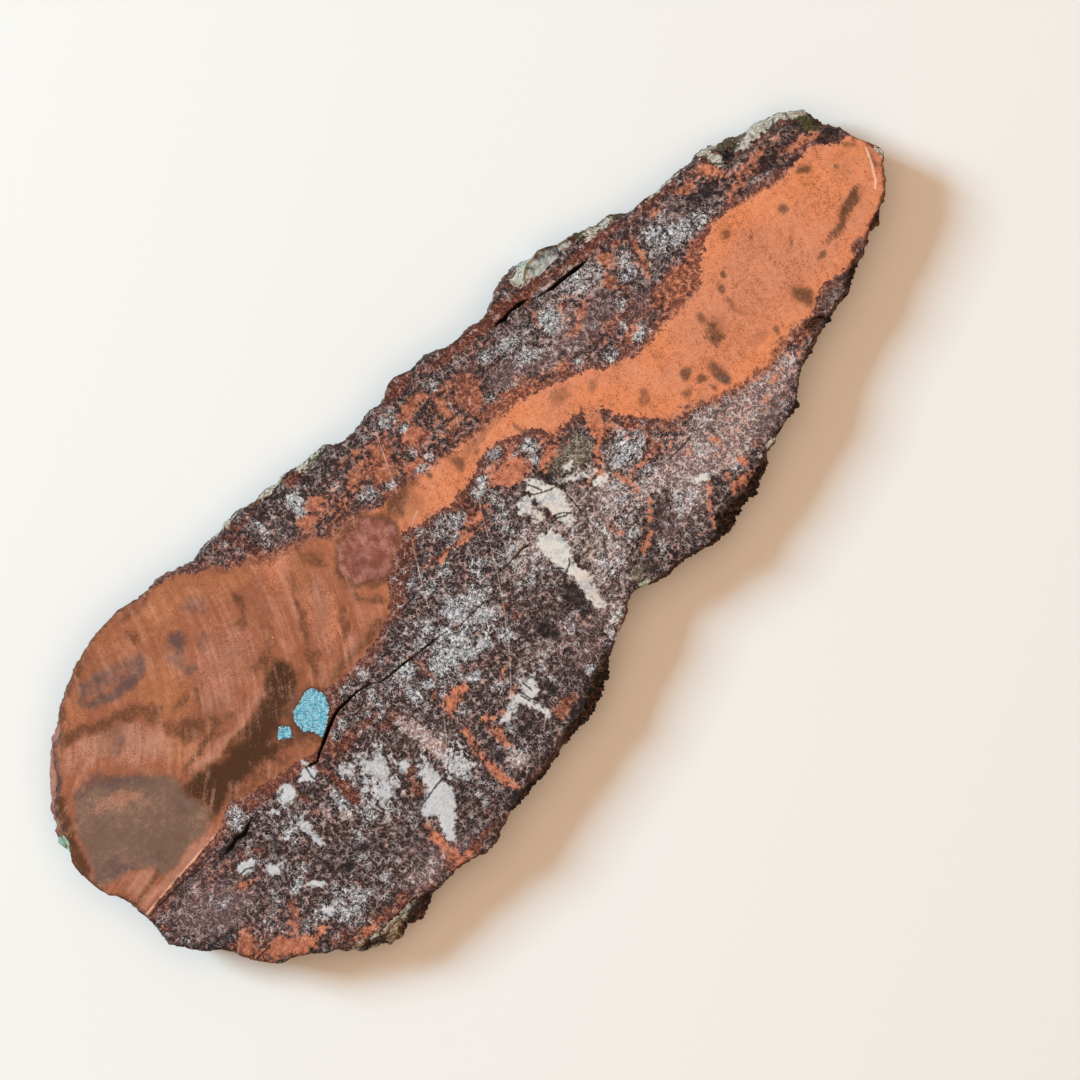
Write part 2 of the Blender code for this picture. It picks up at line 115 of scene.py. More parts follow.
# White quartz and feldspar, each a closed outline.
QUARTZ = [
    [(-50.6, -24.8), (-47, -23.5), (-47, -27.1), (-47.5, -32.5), (-48.8, -34.4), (-51.1, -37.1),
     (-53.4, -38.9), (-54.5, -40.7), (-56.5, -39.8), (-55.6, -37.5), (-53.8, -34.4), (-55.6, -33),
     (-56.1, -31.9), (-53.4, -29.8), (-51.1, -27.5)],
    [(4.2, -7.4), (6.4, -7), (8.4, -7.6), (9.2, -9.2), (9.4, -12.4), (8.2, -14.4), (7, -15.6), (7.6, -17.8),
     (8, -20), (6.8, -21.6), (6.8, -25.6), (6, -27.6), (4.4, -27.4), (4, -24), (4.4, -19), (4.7, -16.4),
     (4.6, -14), (4, -11)],
    [(10.8, 2.8), (12.2, 4.2), (13.6, 4.4), (14.3, 2.4), (15.2, 0.6), (16.6, -1), (16.6, -2.6), (15.6, -4.6),
     (15.8, -6), (14.8, -7.4), (13.6, -8.6), (13.6, -11.4), (12.6, -10.4), (11.8, -8), (11.6, -6),
     (12.2, -4.6), (11.6, -2), (11.4, 0.4)],
    [(6.4, 0.2), (7.6, 1.8), (10, 2), (10.6, 0.6), (10, -1), (10.4, -3.4), (9.2, -5), (7.8, -3.6),
     (8.4, -1.6), (7.4, -0.6)],
    [(18, -1.2), (21.4, -2.2), (24.4, -4.2), (25.6, -5.2), (23.4, -4.6), (20.6, -3)],
    [(20, 1.2), (23.2, 0.2), (22.4, -1), (20.4, -0.4)],
    [(22.6, -6), (25, -6.4), (26.8, -7.8), (25.8, -8.6), (23.6, -7.8)],
    [(38, -21), (40.6, -21.4), (42.8, -23.2), (44.2, -24.4), (41.8, -24), (39.2, -23)],
    [(29.8, -16.2), (31.2, -16.8), (32, -17.9), (30.6, -17.4)],
    [(-17.5, -23.5), (-19.3, -26.2), (-17, -27.1), (-18.4, -30.7), (-21.1, -31.6), (-20.4, -33.5),
     (-20.6, -36.6), (-21.5, -36.6), (-21.5, -33.5), (-23.4, -29.8), (-27.5, -30.7), (-29.3, -29.4),
     (-25.6, -28.9), (-23.4, -27.1), (-21.1, -28), (-19.7, -25.3)],
    [(-94.2, -11.4), (-93.2, -11), (-89.5, -12), (-89.7, -13.4), (-91.8, -13.9), (-93.8, -12.9)],
    [(-80.2, -8), (-78.9, -7.8), (-77.8, -8.6), (-78.6, -9), (-79.8, -8.7)],
    [(-76, -6.6), (-74.6, -6.8), (-73.6, -5), (-72.4, -6.6), (-72.6, -8.4), (-74.2, -9.2), (-76, -8.4)],
    [(-70, -6.8), (-67.6, -6), (-66.2, -7.2), (-66, -8.2), (-67.6, -9.8), (-69, -8.4)],
    [(-67.4, -4.4), (-66.4, -4.8), (-66, -6), (-67.2, -6.1)],
    [(-89.3, -17.4), (-88.8, -14.6), (-88, -15.8), (-87.2, -17), (-85.4, -16.8), (-85.6, -18.2),
     (-88.2, -18.4)], [(-85.6, -25), (-84, -24.9), (-82.4, -26.4), (-83.2, -27.6), (-84.6, -26.4)],
    [(-87.4, -30.6), (-86, -30.4), (-84.8, -32.6), (-86.4, -32.2)],
    [(-57.5, -11.6), (-56.1, -14.8), (-53.4, -14.8), (-52.5, -13.5), (-53.8, -19.4), (-56.1, -20.7),
     (-54.3, -21.2), (-57, -23.5), (-57.9, -25.3), (-61.1, -23.5), (-60.6, -21.6), (-57.5, -19.4),
     (-58.4, -16.2)], [(-62.4, -11.6), (-60.8, -11.2), (-59.2, -13.4), (-60.6, -15.4), (-62.2, -13.6)],
    [(-51.8, -20.2), (-50.4, -20.6), (-50.6, -22.2), (-52.2, -22.6), (-52.8, -21.4)],
    [(-78, -13.8), (-76, -13.2), (-75.2, -15), (-76.2, -18), (-76.4, -21), (-77.6, -20.6), (-77, -17.6)],
]

# Pinkish reticulated feldspar, half hidden by the dark rock between its crystals.
FELDSPAR = [
    [(-46.8, -14.8), (-44.8, -13.2), (-42.8, -14.8), (-41.8, -19), (-40.8, -23.6), (-42, -26.2),
     (-45.2, -25.2), (-46.2, -22), (-44.8, -18.6)],
    [(-35, -36.6), (-32.4, -36), (-29.8, -38.4), (-31.6, -40.4), (-34.2, -39.6)],
    [(43.2, -18), (45, -16.8), (46.6, -18.6), (48.4, -20.6), (46, -20), (44.2, -19.4)],
    [(-72.6, -16.4), (-70.4, -14), (-69.6, -17), (-71.4, -19.4)],
    [(-70, -19.4), (-68, -18.6), (-66.6, -20), (-67.8, -21.6)],
]

# Blue-green copper silicate in the metal: two outlines.
BLUE = [
    [(-61.5, 1.4), (-60.9, 3.4), (-59.9, 4.6), (-57.6, 4.9), (-55.6, 5.5), (-53.9, 5.2), (-53.4, 3.9),
     (-52.8, 2.4), (-53.6, 1.2), (-53.7, 0.2), (-55.1, -0.8), (-56.6, -2), (-58.2, -3), (-59.6, -3.4),
     (-60, -1.2), (-61.4, -0.2)], [(-66.5, 2.7), (-64.9, 4.3), (-63.4, 2.8), (-64.8, 1.2)],
]

# The deep red cuprite patch where the lobe meets the band.
CUPRITE = [
    (-29.5, 22), (-26, 24.5), (-22, 25), (-18, 24.2), (-15.4, 21.6), (-15, 18), (-17, 15), (-21, 12.2),
    (-25, 10.4), (-28, 12), (-30.5, 15), (-31, 18.5),
]

# Soft-edged stains of the metal, each a closed outline: the grey tarnish, the olive streak under the
# lobe's middle and the brown bevel along its rim.
GREY_FLAT = [
    (-116.8, 12), (-114, 17.4), (-110.6, 23.4), (-107.6, 25.6), (-102, 24.4), (-97, 21.2), (-92.6, 17.4),
    (-89.6, 14.4), (-89.4, 8), (-89.4, 1.2), (-92, -0.4), (-99.8, -1), (-106.4, -0.6), (-107, 2.2),
    (-109.2, 4.6), (-114.8, 6.4), (-117.6, 6.8), (-117.8, 9.6),
]
OLIVE_BAND = [
    (-89.4, 9.6), (-84, 9.2), (-80, 8.4), (-74.2, 8), (-68, 8.8), (-64.4, 10.4), (-61.2, 12.6), (-57.6, 15),
    (-54.6, 14.6), (-53.6, 11.4), (-55.2, 8.6), (-60.9, 6.4), (-64, 5.4), (-68.4, 4), (-68.6, 1.6),
    (-76, 1.6), (-82, 2.4), (-85, 0.8), (-89, 1.1),
]
BEVEL = [
    (-117, 18.6), (-115, 22.6), (-113, 26.6), (-110.6, 29.2), (-109.4, 27.4), (-111.6, 23.6), (-114.2, 18.8),
    (-116.4, 14), (-117.4, 11.4), (-119.4, 11.4), (-119.2, 15.4),
]

# Soft blotches, each for the field of the same name: x, y, half length, half width, strength and, for
# those that aren't level, the turn in degrees.
BROWN = [
    (-101, 36, 4.4, 1.3, 0.75, -8), (-93.4, 33.2, 5.6, 1.5, 0.8, -26), (-86.4, 30.2, 3.6, 1.6, 0.75, -22),
    (-86, 44.6, 5, 1.5, 0.35, 20), (-74, 41.2, 1, 1.7, 0.7), (-83, 42.4, 2.4, 1.6, 0.35, 10),
    (-82.5, 26.4, 1.9, 2.4, 0.7, 10), (-79.3, 17.7, 3.2, 2.5, 0.95, -15), (-82.2, 21.6, 2, 1.3, 0.6),
    (-76.4, 24, 2.8, 1.3, 0.5, 20), (-73, 22, 0.7, 2.4, 0.6, -24), (-74, 15.6, 1, 1, 0.6),
    (-57.8, 17.4, 2.4, 1.4, 0.7, 10), (-51.7, 30, 1, 3, 0.85, -22), (-54.6, 26.6, 1.3, 1.5, 0.5),
    (-40, 26.2, 0.8, 2.2, 0.5, -20), (-45, 17, 9, 0.8, 0.6, 56), (-52.4, 20.6, 6.4, 1.4, 0.35, 58),
    (-37.6, 12.2, 4.4, 1, 0.55, 56), (-33.4, 25.6, 3.6, 1.2, 0.6, -64), (-31.6, 15.4, 4, 1, 0.7, 82),
    (-29.6, 9.4, 3.6, 0.9, 0.7, -50), (-44, 4.2, 9, 1.3, 0.6, 4), (-49.6, 8.4, 3.4, 1.4, 0.5, 50),
    (-34, 5, 4, 1.1, 0.7, 12), (-40, 8.4, 5, 0.6, 0.5, 30), (-69.4, 45.6, 6, 0.9, 0.5, -4),
    (-91, 44, 5, 0.8, 0.7, 25), (-97.4, 40.4, 3.4, 0.7, 0.7, 38), (-109.4, 0.2, 5.4, 0.4, 0.9, 14),
    (-113, -0.8, 2.4, 0.3, 0.7), (-112, 1.5, 5.5, 5, 0.3), (-112.6, 24.4, 3, 6, 0.3, -30),
    (-81.6, 13.3, 7.2, 0.62, 1.5, 10), (-86.6, 11.3, 2, 0.3, 0.8, -6), (-85.4, 4.2, 1.2, 3.4, 0.8, -20),
    (-88, 2.6, 0.8, 3, 0.7), (-83.8, 6.8, 3, 2, 0.4), (-66, 0.8, 7, 1.3, 0.6, -8),
    (-58.4, -0.8, 6, 4.6, 0.75), (-53, 0.6, 2.2, 3, 0.7), (-50, 1.9, 5, 0.8, 0.7),
    (-76, -0.2, 9, 1.4, 0.6, -8), (-71, 9.4, 8, 0.7, 0.8, 4), (-12, 20.6, 3.6, 2.2, 0.8, 20),
    (-8.4, 22, 5, 1.4, 0.7), (4.8, 18, 1.1, 1.8, 0.9), (-1.9, 20.6, 0.5, 0.9, 1.3),
    (9.6, 16.4, 0.6, 0.6, 0.8), (12, 18.2, 6, 0.9, 0.4), (19.6, 13.9, 0.7, 1.7, 0.9),
    (31.4, 12.4, 3, 1.7, 0.6, 10), (38, 8.8, 1.7, 1.1, 0.5, 20), (45.4, 8.2, 1, 0.8, 0.4),
    (44.6, -1.2, 1.7, 1.1, 0.6, 20), (54.4, -4, 1.45, 1.05, 1.1, 20), (51.8, -7.2, 0.95, 0.95, 0.9),
    (56.2, -7.2, 1.05, 0.9, 1), (56.6, -10.4, 0.6, 0.8, 1), (59.7, -9.2, 1.45, 2.9, 1.1),
    (85.3, -9.9, 1.8, 2.4, 1.05, 10), (95.7, 6.6, 0.9, 1.1, 1), (94.4, -7, 1.1, 0.8, 1),
    (92.2, 0.6, 1.9, 0.5, 0.7, 44), (65.4, 2, 0.9, 1.6, 0.8), (64.9, -3, 1.4, 1.5, 0.7),
    (66.6, -1.4, 2.8, 1.8, 0.5, 30), (72.4, -0.6, 0.6, 2.4, 0.7, -5), (73.4, 3.7, 0.7, 0.9, 1.2),
    (75.9, 5.9, 0.55, 0.55, 1.2), (82.6, 11.6, 1.5, 0.9, 0.8, -10), (105.6, 9.4, 1.2, 0.9, 0.9, -20),
    (104, 10.4, 1, 0.5, 0.9), (102, -4.4, 3.4, 1.2, 0.6, 14), (108.4, -2.8, 3.6, 1.3, 0.65, 10),
    (71.6, -9.6, 2.4, 1.6, 0.35, -25), (75.8, -11.6, 0.5, 1.4, 0.8, -20), (87, 3, 1, 0.6, 0.4),
    (112, 4, 4, 4, 0.2), (110.6, 5.4, 0.5, 0.5, 1), (117.6, 0.4, 0.8, 2.6, 0.6),
    (116.2, 6.4, 1.6, 0.7, 0.5, -60), (86.2, 7.4, 0.5, 0.5, 0.9), (-72, 16, 7, 5, 0.35), (-89, 6, 3, 4, -0.4),
]
SLATE = [
    (-91.6, 38.6, 2, 1, 0.6, -62), (-88.6, 36.4, 2.6, 1.3, 0.9, -30), (-84, 35, 3.6, 1.3, 0.95, -6),
    (-79, 34.9, 3.2, 1.2, 0.9, 4), (-76, 36.4, 1.8, 1.4, 0.85, 66), (-88, 40.6, 3.8, 2.2, 0.66, -8),
    (-82.6, 38.2, 4, 2.6, 0.6, -14), (-77.6, 37.4, 2.4, 2, 0.6), (-67, 34.4, 1.8, 1.9, 0.75),
    (-69.4, 32.4, 2.2, 3.2, 0.5, -30), (-69.9, 28.2, 1.7, 1.7, 0.65), (-63.3, 29.7, 2.3, 1.7, 0.55, -12),
    (-59.2, 37.6, 2.6, 1.9, 0.6, -30), (-57.6, 34.6, 1.4, 1.4, 0.4), (-104.4, 25.4, 3.2, 1.4, 0.75, 4),
    (-100.4, 22.6, 3.2, 1.6, 0.6, -48), (-95.8, 19, 4, 1.5, 0.42, -40), (-107.2, 23.6, 1.6, 1.2, 0.7),
    (-92.4, 27.8, 3.6, 1.9, 0.5, 32), (-113, 8.6, 4.4, 2.2, 0.5, -10), (-110.4, 5.8, 3.4, 1.1, 0.5, -8),
    (-104, 4, 2.4, 2.4, 0.2), (-92.6, 7.4, 1.3, 1.3, 0.35), (59.5, -10.6, 1.2, 1.4, 1.3),
    (59.9, -7.3, 0.5, 0.7, 0.9), (-105.6, 34.2, 2.6, 0.8, 1.3, 52), (-109, 30, 2.6, 0.7, 1.3, 36),
    (-113, 26.6, 2.2, 0.5, 1, 58), (-101.6, 37.2, 2.4, 0.6, 0.7, 12), (-119, 12, 0.5, 3, 0.8),
    (101.6, -11.5, 1.9, 1.5, 2.4, 10), (-45.4, 5, 0.9, 0.6, 0.3), (-58.9, 6.4, 2.6, 0.6, 0.7, 22),
]
ROSY = [
    (-103.8, 32, 4.4, 2.6, 0.6, 20), (-97.4, 30.4, 3.4, 2.4, 0.55, 34), (-88.2, 24.6, 6.4, 3.2, 0.75, -52),
    (-93.6, 23.4, 3.4, 1.8, 0.7, -48), (-102, 18.6, 4.4, 1.9, 1.1, -28), (-106.6, 20.6, 1.8, 0.7, 0.8),
    (-98.6, 16, 2.2, 1, 0.8, -10), (-111.6, 2.6, 4.2, 1.7, 0.7, 8), (-103, -1.9, 12, 1.1, 1.1, 3),
    (-112, 0.6, 3, 0.6, 0.7, 8), (-79, 10.8, 9, 1.1, 1, -2), (-66, 12, 6, 1.4, 0.6, 4),
    (-65, 21, 8, 5.4, 0.5, 20), (-60, 26, 4, 6, 0.4, -26), (-72, 18, 3, 5, 0.4, -20),
    (-42, 14.6, 8, 1.8, 0.55, 57), (-37.4, 19.4, 6, 1.6, 0.6, 60), (-40, 6.2, 6, 1.2, 0.6, 18),
    (-47.6, 27, 7, 1, 0.4, 60), (-56, 22, 7, 0.9, 0.4, 62), (-66.4, 27, 4, 2, 0.4, 40),
]
AMBER = [
    (-77.4, 29.6, 5.4, 4.6, 0.85), (-84.6, 16.8, 3.2, 3, 0.9), (-78, 24, 4, 3, 0.5),
    (-95, 38.6, 5, 2.4, 0.55, 30), (-77, 44, 8, 3, 0.25), (-62.6, 42, 8, 3.4, 0.55, -20),
    (-55, 37.6, 6, 3, 0.45, -40), (-47.6, 34, 6, 2, 0.5, -35), (-38.6, 26, 4, 3, 0.35, -30),
    (-62, 7.2, 6, 1.2, 0.8, 4), (-64.4, 2.6, 3, 3.4, 0.8), (-68, 40, 5, 4, 0.3), (-10, 19, 3.6, 2.4, 0.6),
    (-40, 4, 6, 1.6, 0.4), (-59, -2.6, 4, 2, 0.8), (-83, 6, 4, 2.4, 0.3), (-51, 2.6, 4, 1.2, 0.5),
]
BRIGHT = [
    (0, 16, 7, 2.6, 0.6), (16, 16.6, 5, 1.8, 0.7), (24, 14.4, 5, 2.8, 0.7, -24), (35, 8, 6, 3, 0.8, -30),
    (43.6, -1.4, 5.4, 4.4, 0.9, -20), (53, 3.2, 5.4, 3, 0.8), (57, 6, 4, 1.2, 0.7),
    (48.6, -7, 6, 1.6, 0.9, -14), (64, -12.4, 8, 2, 1, -6), (75, -12, 5, 2, 0.8), (80, 11, 6, 2.6, 0.8, 16),
    (88, 12, 6, 2.2, 0.9), (97, 9, 8, 3.4, 0.8, -8), (108, 6, 8, 4, 0.8, -10), (114, 3, 4, 5, 0.8),
    (104, 0.6, 8, 2.4, 0.5), (100, -10, 4, 2, 0.8), (56.6, -5, 3, 3, 0.5), (112.6, -4.6, 3, 1, 0.8, 30),
    (90, -9.6, 4, 1.6, 0.6), (40, 3.6, 3, 4, 0.7), (12, 9, 3.4, 2.4, 0.4), (-33, -18.6, 4, 1, 1),
]
BLUSH = [
    (78, 0, 14, 6.6, 0.8), (63, 2, 6, 4.4, 0.7), (90, -5, 9, 4.4, 0.6), (29, 10.6, 4, 2.4, 0.6, -34),
    (52, -2, 4, 2, 0.4), (98, -6, 6, 1.8, 0.6), (107, -5.6, 4, 1, 0.7, 12), (60, -4, 3, 2, 0.4),
    (-4, 17.4, 3, 2, 0.3), (8, 17, 4, 1.4, 0.4), (84, 6, 6, 3, 0.4), (-40, 14, 4, 6, 0.75),
    (-40.6, 30, 4.4, 4, 0.7, -40),
]
OLIVE = [
    (-57.2, 12, 3, 2.6, 0.9), (-74, 5.4, 7, 2, 0.9), (-79.3, 17.7, 2.4, 1.8, 0.7, -15),
    (-11, 21.2, 5, 2.4, 0.9, 10), (-33.6, 26.6, 4, 1.4, 0.9, -40), (-31.8, 19, 3, 0.9, 0.7, 80),
    (-30, 9, 3.4, 0.8, 0.7, -50), (2, 21, 5, 1, 0.35), (-51.7, 30, 0.8, 2.6, 0.5, -22),
    (105, 10, 2, 1.4, 0.8, -25), (85.3, -9.9, 1.8, 2.4, 0.8), (54.4, -4, 1.3, 1, 0.9, 20),
    (22, 2, 5, 3.4, 1, -20), (26.4, 1, 3.4, 4, 0.9), (14, -18, 4.4, 3.4, 0.8, -20), (12, -11, 3, 4, 0.45),
    (17.6, -8, 2, 6, 0.6), (16, -28, 3, 2, 0.9), (108.4, -2.8, 3.4, 1.2, 0.4, 10), (6, 6, 2.4, 2.6, 0.4),
    (115, 10.4, 2, 2, 0.3), (97, 24, 3, 1, 0.3), (20, -16, 3, 2, 0.5), (60, 36, 3, 1.5, 0.4),
    (-62, 4, 4, 1.4, 0.3), (114, 16, 2, 4, 0.8),
]

# The share of white and grey crystals in the rock, above or below its usual share.
WHITE = [
    (-46, -0.4, 7, 2.2, 0.55), (-55.6, -5.6, 3.6, 1.6, 0.6, 24), (-36.6, -6.8, 2.2, 1.5, 1),
    (-38.6, -11.8, 1.8, 1.6, 1.1), (-34.4, -12.8, 1.4, 1.4, 0.9), (-28.6, -11.6, 3.4, 3.6, 0.85),
    (-23.6, -12, 2.2, 3, 0.7), (-27, -2.2, 3.2, 2.4, 0.5), (-18.6, -4.6, 2.6, 2.8, 1),
    (-17.6, 0.2, 2.2, 1.8, 0.6), (-12.4, -5.4, 2.8, 2.2, 0.9, -20), (-8.8, -1.6, 2, 2, 0.7),
    (-24.4, -6.4, 1.6, 1.6, 0.7), (-14, -11, 2, 2, 0.7), (-14.6, -17.4, 2, 2.4, 0.65),
    (-19.4, -14.8, 1.6, 1.4, 0.6), (-42, -6, 8, 4, 0.25), (-30, -5, 6, 3, 0.3), (-20, -10, 9, 6, 0.5),
    (-40, -9, 9, 5, 0.25), (-4, -10, 5, 4, 0.2), (-4.4, -3.6, 2.6, 2.4, 0.5), (-26.6, -18.4, 1.8, 1.2, 0.8),
    (-33, -21.4, 1.6, 1.8, 0.6), (-24, -23.6, 1.3, 2.2, 0.7), (-11.6, -26.6, 3, 1.6, 0.5),
    (-4, -26, 2, 2.6, 0.5), (-32, -37, 2.6, 2, 0.7), (-33.4, -34, 1.2, 2, 0.5), (-28, -32, 1.8, 1.4, 0.6),
    (-42.4, -31.6, 2.2, 2.6, 0.8), (-43.8, -38.8, 1, 2, 0.7), (-76, -16, 2, 5, 0.7),
    (-82, -34.4, 4.4, 4.4, 0.75), (-86.6, -31.4, 2.6, 2, 0.7), (-64.2, -22.6, 1.8, 3.4, 0.8),
    (-58.6, -18, 4, 6, 0.4), (-74, -34, 6, 4.4, 0.3), (-66.6, -16.4, 1.6, 3.6, 0.7),
    (-70.6, -16, 1.6, 3.6, 0.5), (-82, -12.6, 4, 2.4, 0.3), (-84, -21.6, 2.6, 1.8, 0.7),
    (-87.6, -23.4, 2.2, 1.4, 0.7), (-92.4, -21.6, 1.4, 2, 0.6), (-74.6, -6.8, 2.4, 2.4, 0.7),
    (-68.4, -7.6, 2, 2, 0.7), (-78.8, -8.4, 1.4, 1, 0.8), (-81.4, -5.4, 1, 1, 0.5),
    (-86.2, -2.6, 1.8, 3, 1, -30), (-79.6, -14, 1.4, 3.4, 0.6), (-73, -12, 1.4, 2.6, 0.5),
    (-97, -25.4, 2.4, 2.8, 0.45), (-68, -20, 1.2, 2, 0.6), (-107, -8.6, 5, 2.6, 0.2),
    (-101.4, -14.6, 1.6, 1.2, 0.5), (-92, -32, 2.6, 2.6, 0.35), (-70, -26, 4, 3, 0.35),
    (-62, -33, 3, 3, 0.15), (-52, -13.4, 2, 2, 0.5), (-60.6, -27, 3, 2, 0.3), (-24, 8, 6, 4, 0.2, 30),
    (-12, 13.4, 3.4, 1.2, 0.6, -6), (-7, 10, 5, 2.2, 0.5, -8), (-14.6, 3.4, 3.4, 2.4, 0.5),
    (-20, 4, 2.4, 3, 0.5), (-8.4, 6, 1.6, 1.6, 0.6), (-4.6, 8.6, 2, 2, 0.5), (3.3, 10.4, 1.3, 1.3, 1.3),
    (6.2, 11.2, 1.3, 1, 1.3), (8.6, 12, 1, 0.6, 1.1), (12.2, 13.4, 1.6, 1.4, 1.5), (18.8, 9, 2.8, 2.8, 0.7),
    (17.2, 6.2, 1.2, 1, 1), (5, 7, 1.3, 3, 0.5), (14.4, 10.4, 1.2, 0.9, 0.8), (4, 3, 4, 2, 0.3),
    (-1.4, 13.2, 2, 1, 0.4), (31.4, 26.6, 3.2, 4.6, 0.65), (41.4, 25.6, 2, 3.2, 1.5), (26, 30.6, 3, 1.6, 0.8),
    (34.4, 22.2, 3, 1.6, 0.6), (36.6, 28, 3, 3, 0.35), (20.4, 22.4, 2.8, 1.6, 0.6), (25, 21.6, 1.8, 1.4, 0.7),
    (-0.4, 35.6, 3.6, 1.8, 0.7), (1.8, 31.7, 1.4, 0.9, 1.6), (-26.6, 37, 2, 2.8, 1, -10),
    (-28, 35.2, 1.4, 1.2, 1), (-14, 27.6, 2.2, 1.8, 0.9), (-18.6, 32.4, 2, 2, 0.6), (-8.8, 24.6, 1.6, 1.2, 1),
    (-1.8, 22.6, 1.8, 1.2, 1), (1.2, 23.6, 1, 1, 1.2), (-37.6, 40.2, 2, 1.6, 0.6),
    (-45, 42, 1.4, 0.8, 0.7, -40), (-37, 36.4, 1.2, 1.4, 0.4), (13.4, 34.2, 2.8, 2, 0.6),
    (20, 33.6, 2.6, 3, 0.4), (-5.6, 36.4, 2, 1.2, 0.5), (6.6, 26.6, 2.4, 2.6, 0.4),
    (12.6, 27.6, 0.9, 1.2, 0.9), (-0.6, 27, 1.2, 1.6, 0.7), (52, 27, 3.4, 2.6, 0.4), (57, 26, 2, 2.6, 0.5),
    (60.4, 21, 2.4, 1.8, 0.9), (62.6, 24.6, 2, 3, 0.6), (55, 18, 2, 2, 0.4), (72.6, 20.6, 4.4, 3.4, 0.75, -5),
    (79, 18.4, 5.4, 2.4, 0.8, -8), (76, 25, 5, 2, 0.3, -8), (71, 23.4, 2, 2, 0.5),
    (45.4, 10.4, 2.6, 1.3, 0.9), (53.2, 10.4, 2.6, 1.7, 0.85), (51.6, 13.4, 1.4, 1.4, 0.7),
    (39, 14.6, 2.2, 1.3, 0.7), (56, 7.6, 1, 1, 0.6), (87, 19, 2, 1.2, 0.3), (97.6, 15.4, 3, 1.2, 0.3),
    (33.4, -6.4, 5.2, 3.4, 0.85), (35.4, -2.4, 1, 1.8, 0.9), (24, -11.6, 3.6, 2.6, 0.5),
    (32, -13.6, 3.6, 1.8, 0.5), (13, -22, 4.6, 3, 0.65), (21.6, -20.4, 2.8, 2, 0.5),
    (22.6, -27.6, 3.6, 1.6, 0.4), (34, -24, 4.4, 2.6, 0.6), (46, -19.4, 2.2, 1.6, 0.7),
    (44.6, -17.6, 1.4, 1, 0.7), (52, -13.4, 5, 2, 0.4), (62, -16.4, 4, 1.4, 0.35), (73, -17.6, 2.6, 1.8, 0.5),
    (40.4, -5, 0.6, 1.2, 1), (57, -20, 1.6, 1, 0.6), (48, -26, 2.2, 2, 0.4), (45, -11.4, 4.4, 1.6, 0.4),
    (30.4, -30, 3, 1.6, 0.4), (5.4, -31.4, 4, 2, 0.45, 30), (2.2, -33.4, 1.6, 0.8, 0.9, 30),
    (-6.8, -35.2, 1, 1.4, 1, -20), (-14.4, -31, 0.5, 3, 0.9, 5), (2, -4, 5, 5, 0.4), (1, -12, 4, 5, 0.3),
    (20, -16, 10, 4, 0.3), (48, 28, 8, 4, 0.4), (66, 18, 5, 5, 0.1), (-32, -16, 4, 3, 0.4),
    (-64, -9, 8, 6, -0.4), (-56, -18, 4, 4, -0.2), (-72, -14, 4, 8, -0.25), (-47, -1, 7, 2, -0.3),
    (-40, -9, 8, 4, -0.2), (-76, -20, 7, 5, -0.35), (-18, -9, 5, 4, 0.2), (40, -9.6, 3, 2.4, 0.3),
]
